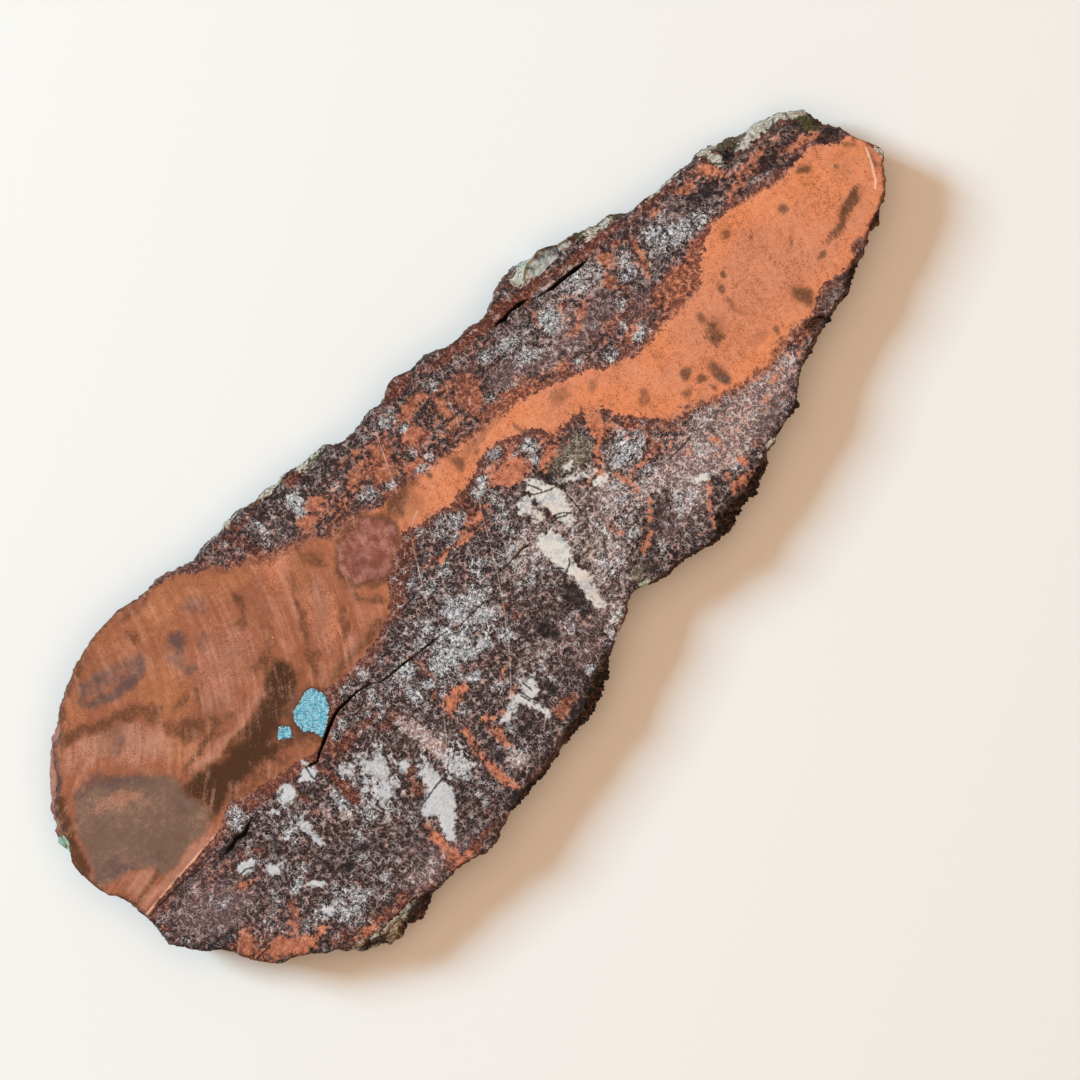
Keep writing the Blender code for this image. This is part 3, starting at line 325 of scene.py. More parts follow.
# Dark patches of the rock; those along the lower edge are painted shade.
DARK = [
    (-7.4, -22.6, 1.9, 3.2, 1.5), (-12, -21.4, 3.4, 3, 0.3), (2, -22, 1.9, 4.4, 1.1), (-3, -20, 3, 3, 0.5),
    (-25.6, -33.8, 3.8, 3, 0.8), (-16.6, -31.6, 1.6, 2.6, 1), (-10.6, -33, 3.4, 3.4, 0.5),
    (-2.4, -36.4, 3.6, 1.8, 1.3, 24), (-10, -38.6, 5, 1.6, 1.3, 18), (-16, -40.4, 5, 1.2, 1, 6),
    (-34.6, -36, 1.2, 3, 1), (-34.8, -31.8, 1.3, 1.6, 0.9), (-33.8, -28, 1.2, 1.6, 1), (-26, -28, 2, 1, 0.3),
    (22, -24.6, 3.8, 2.4, 0.75, 20), (18.6, -28.4, 2.6, 1.6, 0.8), (28, -21.6, 3.6, 2, 0.7, 20),
    (35.6, -31.4, 2, 1.8, 0.6), (42, -25.8, 2.2, 1.8, 0.9, 30), (43, -31, 6, 1.8, 0.9, 8),
    (50.4, -27.6, 2.4, 1.6, 0.7, -30), (24.4, -31, 1, 0.6, 0.8), (-46.6, -41, 5, 2.2, 0.4),
    (-52, -42, 3.6, 2, 0.4), (-46.4, -35.8, 2.6, 2.6, 0.7), (-29, -42.4, 4, 1.2, 0.6),
    (-38.4, -43.6, 4, 1.4, 1), (-107.4, -19.9, 4.6, 0.9, 1.1, -8), (-90.2, -6.6, 5.4, 1.6, 1, 3),
    (-104, -4.9, 9, 0.5, 0.9, 3), (-84.4, -14.4, 2.6, 3, 0.6), (-87.6, -20.4, 2.6, 1.2, 0.6),
    (-80.4, -18, 1.2, 2.4, 0.5), (-76.2, -28, 1.8, 1.2, 1.1), (-71.2, -27.4, 2.4, 1.6, 0.8),
    (-66, -29, 5, 0.8, 0.6, -12), (-62.4, -32.6, 2.4, 2.4, 0.5), (-64.4, -39.6, 1.8, 1.2, 0.9),
    (-61.8, -38.4, 1.2, 1, 0.9), (-60, -35, 2, 1.4, 0.4), (-75.4, -40.4, 2.2, 1, 0.9, 10),
    (-79, -25, 1.4, 2, 0.5), (-91.4, -36.8, 2, 1.2, 0.7), (-95.2, -24.4, 0.9, 2.4, 0.5),
    (-108, -24, 1.6, 2.6, 0.4, 30), (-69, -18.6, 0.9, 3, 0.5), (-72.4, -8, 1, 2.4, 0.5),
    (-84, -8.6, 4, 1.4, 0.4), (-47, -18, 1.3, 5, 0.5), (-48.4, -33, 1, 2, 0.5), (-21.6, 39.4, 1.2, 2, 0.9),
    (-16.8, 38, 2.6, 1.2, 0.9), (-34.6, 40.6, 2.6, 0.9, 1.2), (-27.6, 40.4, 3, 0.6, 0.9, -14),
    (-39.6, 39.6, 2, 1.8, 0.6), (-31, 34, 3, 3, 0.4), (-23, 30.6, 2, 2, 0.2),
    (-12.4, 28.4, 3.6, 1.6, 0.5, -20), (-6.6, 23.8, 2, 1.4, 0.8), (6.8, 29.6, 2.6, 3.2, 0.6),
    (-3.4, 28.6, 2.4, 2.6, 0.6), (5, 35, 1.6, 1.6, 0.3), (9.6, 31.6, 1, 4, 0.4), (-14, 13.2, 6, 0.5, 0.6, 10),
    (-6, 11.6, 4.6, 2, 0.3), (24.6, 2.6, 3, 2.4, 0.35), (16.4, 2, 1.8, 1.6, 1), (10.6, -3.6, 1, 1.6, 0.8),
    (2.4, 6.4, 2.4, 3, 0.4), (20.4, 11.6, 1.6, 2, 0.6), (4.8, 9, 2.4, 0.8, 0.6), (38.6, 29.4, 5, 1.6, 0.5),
    (45, 29.6, 3, 1.2, 0.4), (53, 23, 3, 4, 0.3), (48, 17, 4, 3, 0.2), (57.6, 22, 1.2, 3, 0.5),
    (66, 28, 3.4, 2.4, 0.5), (66, 23.6, 1.2, 3, 0.5, -20), (86, 21.8, 6, 1.3, 1, -8), (80, 24.4, 2, 2, 0.4),
    (69, 18.4, 1.2, 2.6, 0.5), (101, 16.6, 2.4, 2.2, 1), (105.4, 12.6, 3.6, 0.9, 1.2, -8),
    (114.4, 10.8, 2.8, 1.9, 1.9, -30), (104, 17.6, 3, 1, 0.5), (108, 17, 2, 2, 0.6), (97.4, 19.2, 2, 1, 0.4),
    (99.4, 17.4, 0.8, 3, 0.7), (94, 22, 2, 0.8, 0.8, -20), (60, -15.4, 6, 1.1, 0.4, -3),
    (54.6, -15.2, 3, 0.9, 0.4), (63.4, -22.4, 2.4, 1.6, 0.6), (74.6, -19.4, 4, 1.6, 0.4, 16),
    (92, -13.9, 5.8, 1.6, 0.6, 10), (83, -16.4, 2.4, 1.2, 0.9, -18), (12, 12.8, 2, 2, 0.6),
    (42.6, -14.6, 7, 0.4, 0.6, -2),
]
RUST = [
    (-46, -11.6, 5, 1.6, 0.8), (-33.2, -8, 1.2, 4, 1, 10), (-53, -27, 1.8, 2, 1), (-51.4, -23.4, 1.6, 2, 0.9),
    (-63.9, -17, 1.6, 5, 1.6, 4), (-65, -9, 1.2, 3.6, 0.9, 10), (-55, -8.6, 8, 1.6, 0.9),
    (-72.4, -12, 1.2, 5, 0.9), (-81, -20.4, 1.5, 1.4, 1.2), (-72, -20.4, 1, 3, 0.5),
    (-92, -11, 4, 4, 0.5, 60), (-77, -41.6, 9, 1.8, 1.2, -3), (-88, -38.6, 4, 1.6, 0.9, -30),
    (-87.4, -12.6, 1.4, 2.4, 1.1), (-73, -3.4, 12, 2, 0.8), (-100, -27, 8, 6, 0.6), (-113, -12, 2, 3, 0.5),
    (-106, -25, 2.4, 4, 1, 20), (-105, -31, 2, 2, 0.9), (-114.4, -9, 1.4, 1, 1.2, -40),
    (-76.6, -32.4, 0.8, 4, 0.8), (-79, -36, 3, 0.7, 0.5, -30), (-97.6, -6, 6, 1.4, 0.6),
    (2, 31, 26, 7, 0.5, -3), (28, 36, 14, 2.4, 1.2, -5), (44, 33.4, 12, 1.8, 1.3, -9),
    (6.6, 39.6, 5, 1.8, 1.2), (-40, 42.6, 8, 1.2, 1, -3), (-43.6, 41, 3.6, 1.4, 0.7, -30),
    (-23, 41.4, 3, 1.2, 0.9), (63, 31.2, 5, 1.4, 1.4, -8), (74, 28.8, 6, 1.2, 1.1, -4),
    (58, 31, 6, 1.4, 0.8, -12), (67, 11.2, 8, 4, 0.8), (52, 17, 8, 3, 0.3), (98, 18.6, 8, 3, 0.7, -10),
    (-1, 8.4, 4, 4.6, 1), (107, 15.6, 5, 1.6, 0.7), (-16, 11.6, 3, 2, 0.7, 40), (-24, 6, 6, 1.2, 0.7, 40),
    (-14, 6.4, 8, 1.2, 0.9, -10), (10.6, -9.6, 1, 3.4, 1), (27, 18.6, 8, 1.6, 0.9), (8, -4.6, 6, 0.8, 0.6),
    (40, -11.4, 8, 2, 0.5), (60, -19, 10, 3, 0.4, 12), (4, -6, 3, 1.4, 0.8), (36.6, -7, 3.6, 4, 0.3),
    (37.4, -3.6, 1.6, 3.6, 1, 20), (-26, -16, 4, 2, 0.4), (-48, -45, 8, 1.2, 0.9), (-20, 30, 10, 4, 0.3),
    (-28, -12, 0.9, 5, 0.4, 20), (-51, 42.4, 4, 0.9, 0.5), (85, 26.4, 8, 1.6, 0.7, -8),
    (19.4, -15.6, 1.4, 2.6, 1), (-42.6, -24, 1.4, 2, 0.6), (-20.4, -9, 1, 3, 0.4),
    (-11.6, -11.4, 2.2, 1.2, 0.9, -30), (-10, -15, 2, 3, 0.6), (47.6, -30.4, 4, 1.2, 1.1, 8),
    (-57.4, -44.6, 5, 1.2, 1, -5), (-57.8, -36, 1.6, 3, 0.7), (-32, -44, 4, 1.4, 0.9), (28, -14, 1, 3, 0.5),
    (80, -16, 4, 1.2, 0.7, -10), (-62.6, -28.6, 2, 1.4, 0.5), (-44, 37, 7, 3, 0.6, -36),
    (-24, 8, 8, 2, 0.7, 30), (-12, 13.6, 6, 1.6, 0.6, 8), (18, 21, 12, 2.4, 0.5, -6),
    (56, 14, 9, 3, 0.6, -10),
]
HAZE = [
    (-25, 32.6, 4.6, 2.2, 0.8, 10), (-22, 29, 5, 3, 0.5), (-7, 30.4, 3.4, 4.4, 0.9, -30),
    (-14, 31, 4, 1.6, 0.7), (-13, 35.6, 3, 1.2, 0.7, -20), (6, 34.2, 4, 1.4, 1.1), (2.4, 28.6, 3.4, 2.6, 0.9),
    (11, 28.4, 1.4, 4.4, 1), (-3.4, 24.4, 3.4, 1.4, 0.9), (7, 23.4, 4, 2, 0.8), (-8.6, 27.2, 2.6, 1.6, 1),
    (16, 24.6, 3.6, 3.4, 0.9, 40), (20, 20.4, 8, 1.6, 0.9), (-10, 23, 4, 1.4, 0.9),
    (28, 17.4, 6, 1.2, 0.7, -14), (19, 28, 2.4, 3, 0.5), (28, 32, 2, 1.6, 0.6),
    (39.6, 28.6, 0.6, 3, 0.9, -20), (45.6, 26.2, 1.6, 0.9, 1.1, -30), (47.6, 22.4, 3.6, 1.2, 1, 30),
    (44, 20.8, 2.4, 0.8, 0.9), (36.4, 17, 2, 1.2, 0.9), (50.6, 11, 2.6, 1.4, 1),
    (57.4, 22.8, 1.4, 1.8, 1.2, -20), (59.8, 26.6, 1.3, 2.4, 1.3, -20), (66.4, 22.6, 1, 4.4, 1.3, -22),
    (64, 27.4, 1.6, 0.8, 0.9, -20), (58, 18.6, 1, 1.6, 0.9), (75, 26.6, 2, 0.9, 0.7), (84, 25.4, 3, 1.2, 0.8),
    (90.2, 24.4, 2, 3.4, 1.3, 24), (97, 18.8, 5, 1.4, 1, -4), (92, 16.8, 3, 1.2, 0.9),
    (108, 14.6, 4, 1, 1.2, -10), (104, 19, 3, 0.8, 0.7), (66, 13.6, 4, 1.6, 1), (68, 10.4, 7, 3.4, 0.8, 10),
    (76, 13.8, 4, 1.6, 1.1, 10), (80, 14.8, 5, 1, 0.8, 10), (60, 7.6, 4, 0.8, 0.8), (-2, 6.2, 5, 1.3, 0.8, 6),
    (-8, 5.2, 3, 0.8, 0.7), (12, 9, 4.4, 3.4, 1), (20, 4.6, 3, 1.4, 1, 20), (25, 8, 4, 1.4, 0.9),
    (32.4, 1, 1.8, 3.6, 1, -10), (28.4, -2.4, 3.6, 0.8, 1, 40), (-12, 9, 3, 0.6, 0.4, 20),
    (26, -7.6, 0.8, 1.6, 0.8), (28.3, -11.6, 0.7, 3.4, 0.8), (33, -10.8, 6, 0.7, 0.9, 4),
    (39.6, -13.4, 1.6, 0.6, 0.8), (19.4, -17, 0.7, 2.4, 0.7), (42.6, -17, 0.8, 1.8, 1.1, -20),
    (48.8, -18.8, 0.8, 2.2, 1), (56, -20.4, 1.4, 3, 0.8, -10), (54.6, -24.4, 1, 2.4, 1),
    (50.6, -25.4, 1.3, 1.3, 0.8), (66, -19.2, 5, 1.4, 0.7, 12), (63, -22, 1.6, 1.4, 0.5),
    (78, -16.6, 4, 1.2, 0.8, 8), (47, -13, 6, 1.4, 0.4, -4), (69.6, -21.6, 4, 1.2, 0.5, 20),
    (-104.6, -25.6, 2.4, 4, 0.8, 20), (-98.6, -31, 5, 2.2, 1.3, -20), (-96, -34.4, 3.4, 1.4, 1.3, -30),
    (-91.6, -34.4, 2.4, 1.2, 1, 10), (-91.4, -26.6, 1.6, 2.6, 0.9), (-95.8, -14.8, 2, 1.2, 1, -20),
    (-97, -8.8, 5, 1.3, 0.5), (-103, -9, 4, 1.4, 0.35), (-57.4, -37, 1.2, 4, 0.9, 5),
    (-58, -43, 2.6, 2.4, 0.9), (-56, -46, 6, 1, 0.8), (-66, -44, 3, 1, 0.6), (-33, -18.6, 4.4, 1.8, 0.9, 4),
    (-35.6, -15.6, 2.6, 0.8, 0.6, 45), (-44.4, -20.6, 2, 4, 0.4), (-37.6, -33, 1.3, 8, 0.5, 4),
    (-31.4, -30, 1.2, 4.6, 0.7), (-33.6, -39.6, 0.7, 2.4, 0.8), (-36, -43.4, 2, 0.8, 0.7),
    (-21, -18, 3, 1.2, 0.3), (-43, 33, 6, 3.4, 0.5, -40), (47, 15, 6, 2.2, 0.6), (53, -8, 5, 2, 0.7, -20),
    (43, -2, 2.4, 3, 0.6), (-32, 4.6, 4, 1, 0.6, 20), (4, 32, 14, 5, 0.3), (-8, 29, 8, 5, 0.2),
    (-17, -37.4, 3.8, 1.8, 1.2), (16, 30, 4, 4, 0.6), (40, -10, 4, 3, 0.6), (24, 21, 5, 2.5, 0.5),
    (65, 11.4, 8, 3.4, 0.5, 8), (24, 6, 4, 3, 0.4),
]
MAUVE = [
    (-105, -12, 9, 6.6, 0.9), (-98, -17, 6, 3, 0.6), (-104, -20, 3, 2, 0.4), (-66, -41.4, 7, 2.8, 0.9),
    (-60, -41, 6, 4, 0.8), (-63, -35.4, 4, 2.4, 0.6), (-93.6, -29.4, 3, 3, 0.7), (-4, -27, 4, 5, 0.6),
    (-6, -33, 5, 2.4, 0.5), (68, -21, 10, 3, 0.8, 20), (56, -20, 8, 6, 0.7), (44, -15.6, 8, 3, 0.6),
    (48, 21, 7, 5, 0.6, -10), (56, 14, 8, 4, 0.8, -10), (40, 19, 8, 4, 0.7, -5), (30, 22, 7, 4, 0.6, -5),
    (92, -13.8, 5.4, 1.8, 1.2, 12), (20, 30, 4, 4, 0.5), (34, 31, 6, 1.6, 0.5, -6), (60, -23, 8, 3, 0.5, 10),
    (26, 25, 5, 3, 0.5), (78, 24, 6, 2.4, 0.5, -8), (96, 15, 4, 1.2, 0.9), (30, -25, 7, 4, 0.7),
    (55, 24, 3, 4, 0.4), (38, -18, 6, 2, 0.6), (12, -24, 6, 4, 0.6), (4, -29, 4, 3, 0.6),
    (-45, 39.6, 4, 1.6, 0.5, -40), (-36, 36, 5, 2.4, 0.5, -50), (-24, 28.6, 4, 1.6, 0.4),
    (-44, -18, 2, 5, 0.6), (-53, -43, 4, 2, 0.5), (-12, -28, 4, 2, 0.4), (72, -17.6, 4, 2, 0.4),
    (-84, -27, 4, 2, 0.5), (-33.6, -23, 2, 3, 0.4),
]
LACE = [
    (-57.4, -16.4, 4.4, 5.6, 0.75, -10), (-58.2, -22.6, 4.2, 3.6, 0.9), (-61.6, -25.4, 1.6, 2, 0.8),
    (-61.4, -13, 1.8, 2.4, 0.9), (-53, -17.6, 2.2, 2.2, 0.9), (-41.6, -26.6, 3.2, 2.6, 0.9, 20),
    (-46.4, -22.4, 1.6, 3, 0.8, -40), (-48.8, -25.4, 2, 2.6, 0.8), (-23.4, -28.4, 3.4, 1, 0.7, 30),
    (-18.6, -26.6, 1.6, 3.4, 0.7, -20), (8.6, -1.6, 2.2, 2.6, 0.9), (22.6, -2.2, 3.4, 1.6, 0.9, -30),
    (-76.2, -16.6, 1.1, 4.6, 0.8, 4), (-66.8, -15.4, 1.3, 3.2, 0.6), (-85.6, -18, 2.6, 1.6, 0.6),
    (-42.2, -32, 2.4, 2.4, 0.6), (12.6, -9.6, 1.6, 2.4, 0.7), (5.6, -24, 1.6, 4, 0.5),
    (4.2, -31, 2.4, 1.6, 0.5, 30), (-32.4, -37.4, 1.8, 1.6, 0.7), (-60, -19, 1.6, 3, 0.6),
    (44.6, -18.6, 2.4, 1.2, 0.6, -30), (-82, -36, 1.4, 3, 0.4, -20), (-45, -30, 3, 1.6, 0.8, 20),
    (-64.2, -22, 1.2, 2.6, 0.6), (-43.4, -28.4, 3.4, 3, 0.9), (-40.4, -30.4, 2.2, 2.2, 0.8),
    (-52, -31, 4, 5, 0.3, -30),
]
ASH = [
    (-91, 26, 6.4, 4.4, 0.8, -50), (-98, 30.6, 5.4, 3, 0.6, 20), (-86.6, 20, 4, 3, 0.7, -50),
    (-88, 39.6, 3.4, 1.8, 0.6, -8), (-82.6, 37.8, 4, 2, 0.5, -10), (-70, 31, 2.4, 4, 0.5, -20),
    (-59, 37.6, 3, 2, 0.4), (-93, 17.6, 2, 2, 0.5),
]
POWDER = [
    (40, -18, 7, 4, 1), (58, -19, 10, 4, 1, 8), (48, -14, 8, 2.6, 0.7), (69, -19, 6, 2.4, 0.9, 12),
    (32, -15.6, 5, 2, 0.7), (13, -21.6, 5, 3, 0.7), (36, -25, 5, 3, 0.7), (-12, -25.6, 4, 2.6, 0.6),
    (6, -31, 5, 2.4, 0.8, 30), (-63, -41, 6, 3, 0.5), (50, -22.6, 5, 3, 0.8), (23, -11, 4, 3, 0.4),
    (20, -9, 15, 6, 0.5), (1, -7, 6, 6, 0.5), (66, 20, 8, 7, 0.15), (50, 27, 10, 5, 0.4),
    (-44, 25, 4, 4, 0.3, -40), (20, -17, 12, 4, 0.4), (46, -22, 12, 5, 0.4), (38, 20, 10, 4, 0.3),
    (98, 21, 10, 3, 0.3, -10), (62, -18.4, 14, 3.4, 0.35, 6),
]
CALM = [
    (-102, -28, 8, 7, 1), (-8, 30, 30, 8, 1), (30, 28, 26, 8, 1, -8), (66, 24, 22, 7, 0.8, -10),
    (100, 18, 12, 4, 0.8),
]
SOFT_EDGE = [
    (-38, 33, 14, 4, 1, -36), (-22, 25, 6, 2, 0.6), (10, 20, 14, 2.6, 0.6), (62, 8, 12, 2, 0.6),
    (50, -9, 10, 2.6, 0.7, -32), (70, -14.6, 12, 2.4, 0.8, 2), (92, 12, 12, 2, 0.4, -6), (32, 0, 5, 5, 0.4),
]
FLECKS = [
    (-24, 32, 8, 5, 0.35), (-6, 30, 14, 6, 0.45), (12, 27, 8, 5, 0.4), (28, 18.6, 10, 1.6, 0.5),
    (47, 23, 6, 3, 0.4), (59, 25, 4, 5, 0.45), (66, 23, 2.6, 5, 0.5, -20), (70, 11, 7, 3.4, 0.45),
    (90, 24, 3, 4, 0.6, 20), (98, 18.6, 7, 2, 0.5, -8), (108, 14.4, 5, 1.2, 0.6, -10),
    (56, -19, 14, 4, 0.4, 8), (44, -12, 8, 3, 0.4, 20), (37, -3, 3, 5, 0.6, 30), (48, -26, 6, 4, 0.3),
    (70, -20, 9, 3, 0.25, 20), (8, 8, 7, 4, 0.4), (24, 9, 6, 3, 0.45), (-4, 6, 7, 2, 0.35),
    (-100, -29, 7, 6, 0.3), (65, 11, 7.5, 3, 0.3, 8), (24, 21, 6, 2.5, 0.25, -8), (25, 5.6, 3.4, 2.4, 0.25),
    (-57, -42, 3, 5, 0.35), (-33, -19, 5, 2, 0.3), (80, 14, 8, 1.6, 0.5), (78, -16, 6, 1.4, 0.35, 6),
]

# The natural rind, seen on the wall and beyond the polished edge.
RIND_GREEN = [
    (-118.2, 19.8, 2.2, 3, 1.7), (-44, 45, 3, 1.6, 0.5), (-28, 43, 3, 1.2, 0.5), (-17, 41.6, 4, 1.6, 0.6),
    (2, 40.4, 5, 1.2, 0.4), (44.6, 38.4, 2.4, 2.6, 0.8, -40), (66, 33, 5, 2, 0.5), (-117, -9, 2, 5, 0.45),
    (-78, -46, 8, 2.4, 0.3), (-85, -44.6, 3, 2, 0.4), (15.2, -29.8, 2.2, 1.8, 0.8),
    (-102.4, -33.2, 1.2, 1, 0.7),
]
RIND_MOSS = [
    (60.4, 35, 2.6, 1.6, 1.2), (66.4, 32.8, 3, 1.2, 0.8, -20), (113.6, 17.2, 2.2, 3.6, 1.4),
    (97.6, 26.4, 4.6, 1.4, 0.8, -20), (-16, 41.6, 3, 1.4, 0.9), (-30, 43.4, 3, 1, 0.5),
    (-82, -46.6, 5, 1.2, 0.8), (-87.4, -44, 2.4, 2, 0.9), (86, 29.4, 3, 0.8, 0.6), (71, 31.4, 3, 1, 0.6),
    (-74, -46.2, 4, 1, 0.6), (107, -9.6, 3, 0.8, 0.5, 20), (-117.2, -5, 1.4, 3, 0.5),
    (-117, -12, 1.6, 3, 0.5), (-40, 45.4, 3, 0.8, 0.6),
]
RIND_WHITE = [
    (43.6, 37.4, 2, 2.6, 1.2, 30), (47, 39.4, 2.6, 0.8, 0.8, -10), (105.6, 23.4, 5.4, 1.5, 1.7, -6),
    (112, 21.4, 2.6, 2, 1.4, -44), (99.6, 23.2, 2.6, 1, 1.2, -10), (93.2, 25, 1.3, 1.9, 1.3, -10),
    (91.6, 28.4, 2, 1.2, 1.1, -20), (114.2, 19.6, 1, 2, 0.8), (-42, 45.6, 6, 1, 1), (-16, 42.2, 5, 1, 0.7),
    (-28, 43.4, 4, 0.9, 1.1), (-20.4, 41.4, 1.8, 1, 0.9, -30), (-73.4, -44.9, 3.4, 1.4, 1.3),
    (-79, -44.9, 2.8, 1.4, 1.2, 10), (-87.4, -42.9, 1.8, 1.4, 1.2), (-83.6, -44.2, 2.4, 1.2, 1.1, 20),
    (64, 33.2, 4, 1.1, 1, -10), (60.4, 32.6, 2, 0.8, 0.9), (57.2, -28.8, 1.6, 1.2, 1.5),
    (80, 29.4, 6, 0.7, 0.7, -4), (15.4, -29.6, 1.8, 1.4, 0.6), (2.8, -34.6, 3, 0.7, 0.9, 30),
    (-117.4, -9, 1, 4, 0.5), (119.8, 1, 1, 2.6, 0.7, 10), (4, 41, 5, 0.6, 0.3, 10),
    (10, 41.2, 3, 0.5, 0.4, -8), (36, 38.4, 2.4, 0.5, 0.5, 10),
]
RIND_PINK = [
    (-108.4, 32.4, 3.2, 2.4, 1.7, 44), (-112, 29.4, 2.6, 1.6, 1.4, 50), (-115, 25, 1.6, 2.6, 0.8, -30),
    (-101, 39, 3, 1.4, 0.9, 30), (-105, 35.6, 2, 1.6, 1.2, 44), (118.8, -0.6, 1.4, 2.6, 1),
]
RIND_GLASS = [
    (47.8, 36.8, 2.9, 2.4, 1.4, -8), (51.6, 36.6, 2.6, 2.2, 1.3, -14), (56, 35.6, 1.8, 1.4, 0.7, -20),
]
# Black crust, and painted shade where the rind's lower edge and its clefts lie in shadow.
RIND_BLACK_AND_SHADE = [
    (-71, -46.4, 4.4, 2, 1.6), (-84, -44.2, 4, 0.8, 1.2, -14), (-78, -48, 8, 1.2, 1.2),
    (-10, -41, 12, 3.4, 1.6, 12), (-30, -45.4, 10, 1.6, 1), (-38, -44.6, 4, 1.6, 1.2), (40, -34, 9, 2.8, 1.5),
    (50, -31, 4, 1.6, 1.2), (66, -27, 6, 1.4, 1, 20), (78, -21, 5, 1.2, 1, 14), (85.6, -18.4, 2, 1.4, 1.3),
    (96.4, -15, 3, 1.6, 1.5, 20), (108, -10, 5, 1, 1, 26), (95.6, 23.8, 1.6, 1, 1.3),
    (97, 24.6, 2.6, 0.8, 0.9, -20), (24, -33, 8, 0.9, 0.8, -4), (-94, -38.6, 3, 1.4, 0.6),
    (-113, -17, 2, 5, 0.5, 30), (110.6, 17.6, 2, 1.8, 0.8), (114.8, 14.6, 1.2, 1.2, 0.6),
    (-48, -48, 8, 0.9, 0.5),
]
# Clefts between the lumps of crust on the rind, sunk into the wall and painted dark inside as shade.
CREVICES = [
    [(91, 26.4), (92.6, 24), (94.6, 22.4), (96.6, 22.6), (98.6, 21.8)],
    [(94.8, 27), (95, 25.2), (95.6, 23.6), (97.4, 23.2)], [(98.4, 21.9), (101.6, 21.3), (104.2, 20.9)],
    [(104.2, 20.9), (106, 20.6), (107.8, 20), (109.8, 19.4), (111.6, 18)],
    [(106.4, 22.8), (106.9, 21.6), (106.4, 20.6)], [(108.6, 22.6), (107.8, 21.6), (108.2, 20.6)],
    [(111.6, 21.6), (111, 20.4), (111.6, 18.2)], [(54.4, 36.8), (53.4, 34.9)], [(58, 35.2), (57.4, 33.8)],
    [(-88, -42.2), (-85.4, -43.6), (-83, -45), (-80.4, -46.2), (-77.6, -47)],
    [(-76, -44.9), (-76.4, -46.2), (-75.6, -47.4)], [(-79.6, -44.6), (-77, -44.6), (-73, -44), (-69, -44.4)],
    [(41, 35.6), (42.6, 34.8), (44.4, 35.8)], [(-107, 31.4), (-109.2, 29.8), (-112.6, 28), (-114.6, 25)],
    [(-104.6, 35.4), (-106.6, 33), (-107.4, 31.4)], [(-44.6, 44.2), (-40.4, 44.2), (-37.6, 44.6)],
    [(-32, 42.4), (-28.6, 42), (-27, 42.6)], [(-20.6, 40.6), (-18, 40.2), (-15.4, 40.9), (-13.2, 40.8)],
]

# Open cracks: x, y, half width, depth; and hairlines that only show as dark lines.
CRACKS = [
    [(31.8, 33.6, 0.1, 1), (33.4, 33.5, 0.35, 3), (34.8, 33.2, 0.5, 4), (36.2, 33.6, 0.26, 2.5),
     (37.6, 33.4, 0.3, 3), (39.2, 33.2, 0.45, 4), (41.4, 32.6, 0.1, 1)],
    [(43.4, 31.4, 0.12, 1), (45.4, 31, 0.2, 2), (47.6, 30.5, 0.42, 4), (49.8, 30.4, 0.4, 4),
     (52.2, 30.1, 0.45, 4), (54.2, 29.7, 0.4, 4), (57, 29.4, 0.1, 1)],
    [(-67.2, -6, 0.1, 1), (-64.4, -7, 0.22, 3), (-62.2, -5.7, 0.24, 3), (-60, -4.8, 0.36, 4),
     (-57.4, -3.6, 0.38, 4), (-55, -2.6, 0.36, 4), (-53, -2.1, 0.32, 4), (-50, -2.2, 0.24, 3.6),
     (-47.4, -2.2, 0.2, 3), (-45, -2.7, 0.14, 2.5), (-43.2, -3.3, 0.08, 1)],
    [(-42.2, -4.3, 0.1, 1), (-40, -4.8, 0.2, 3), (-37.6, -4.9, 0.16, 3), (-35, -5.2, 0.2, 3),
     (-33, -5.5, 0.14, 2)], [(80.9, -15.7, 0.3, 0.8), (83.2, -16.4, 1.2, 1.5), (85.4, -17.1, 0.3, 0.8)],
    [(-31.4, -5.7, 0.1, 1), (-29, -6.1, 0.12, 1.5), (-26.6, -6.2, 0.1, 1)],
    [(-93.8, -6.9, 0.1, 0.6), (-91.4, -7, 0.45, 1.6), (-89.2, -6.4, 0.35, 1.2), (-87.2, -6.9, 0.55, 1.8),
     (-85.2, -6.2, 0.3, 1), (-83.4, -5.4, 0.1, 0.5)],
    [(95.6, 23.6, 0.5, 2.5), (97.6, 22.2, 0.25, 1.2), (99, 22.8, 0.1, 0.8)],
    [(103.4, 20.4, 0.12, 0.8), (105.2, 20.6, 0.5, 2.2), (107, 20.2, 0.3, 1.5), (108.6, 21.2, 0.1, 1)],
    [(0.2, -5.6, 0.1, 0.6), (1.6, -5.8, 0.2, 1), (2.9, -6.1, 0.16, 0.8)],
    [(36.4, -31.4, 0.3, 1.4), (39.4, -32.2, 0.5, 2), (42.2, -31.6, 0.3, 1.5)],
]
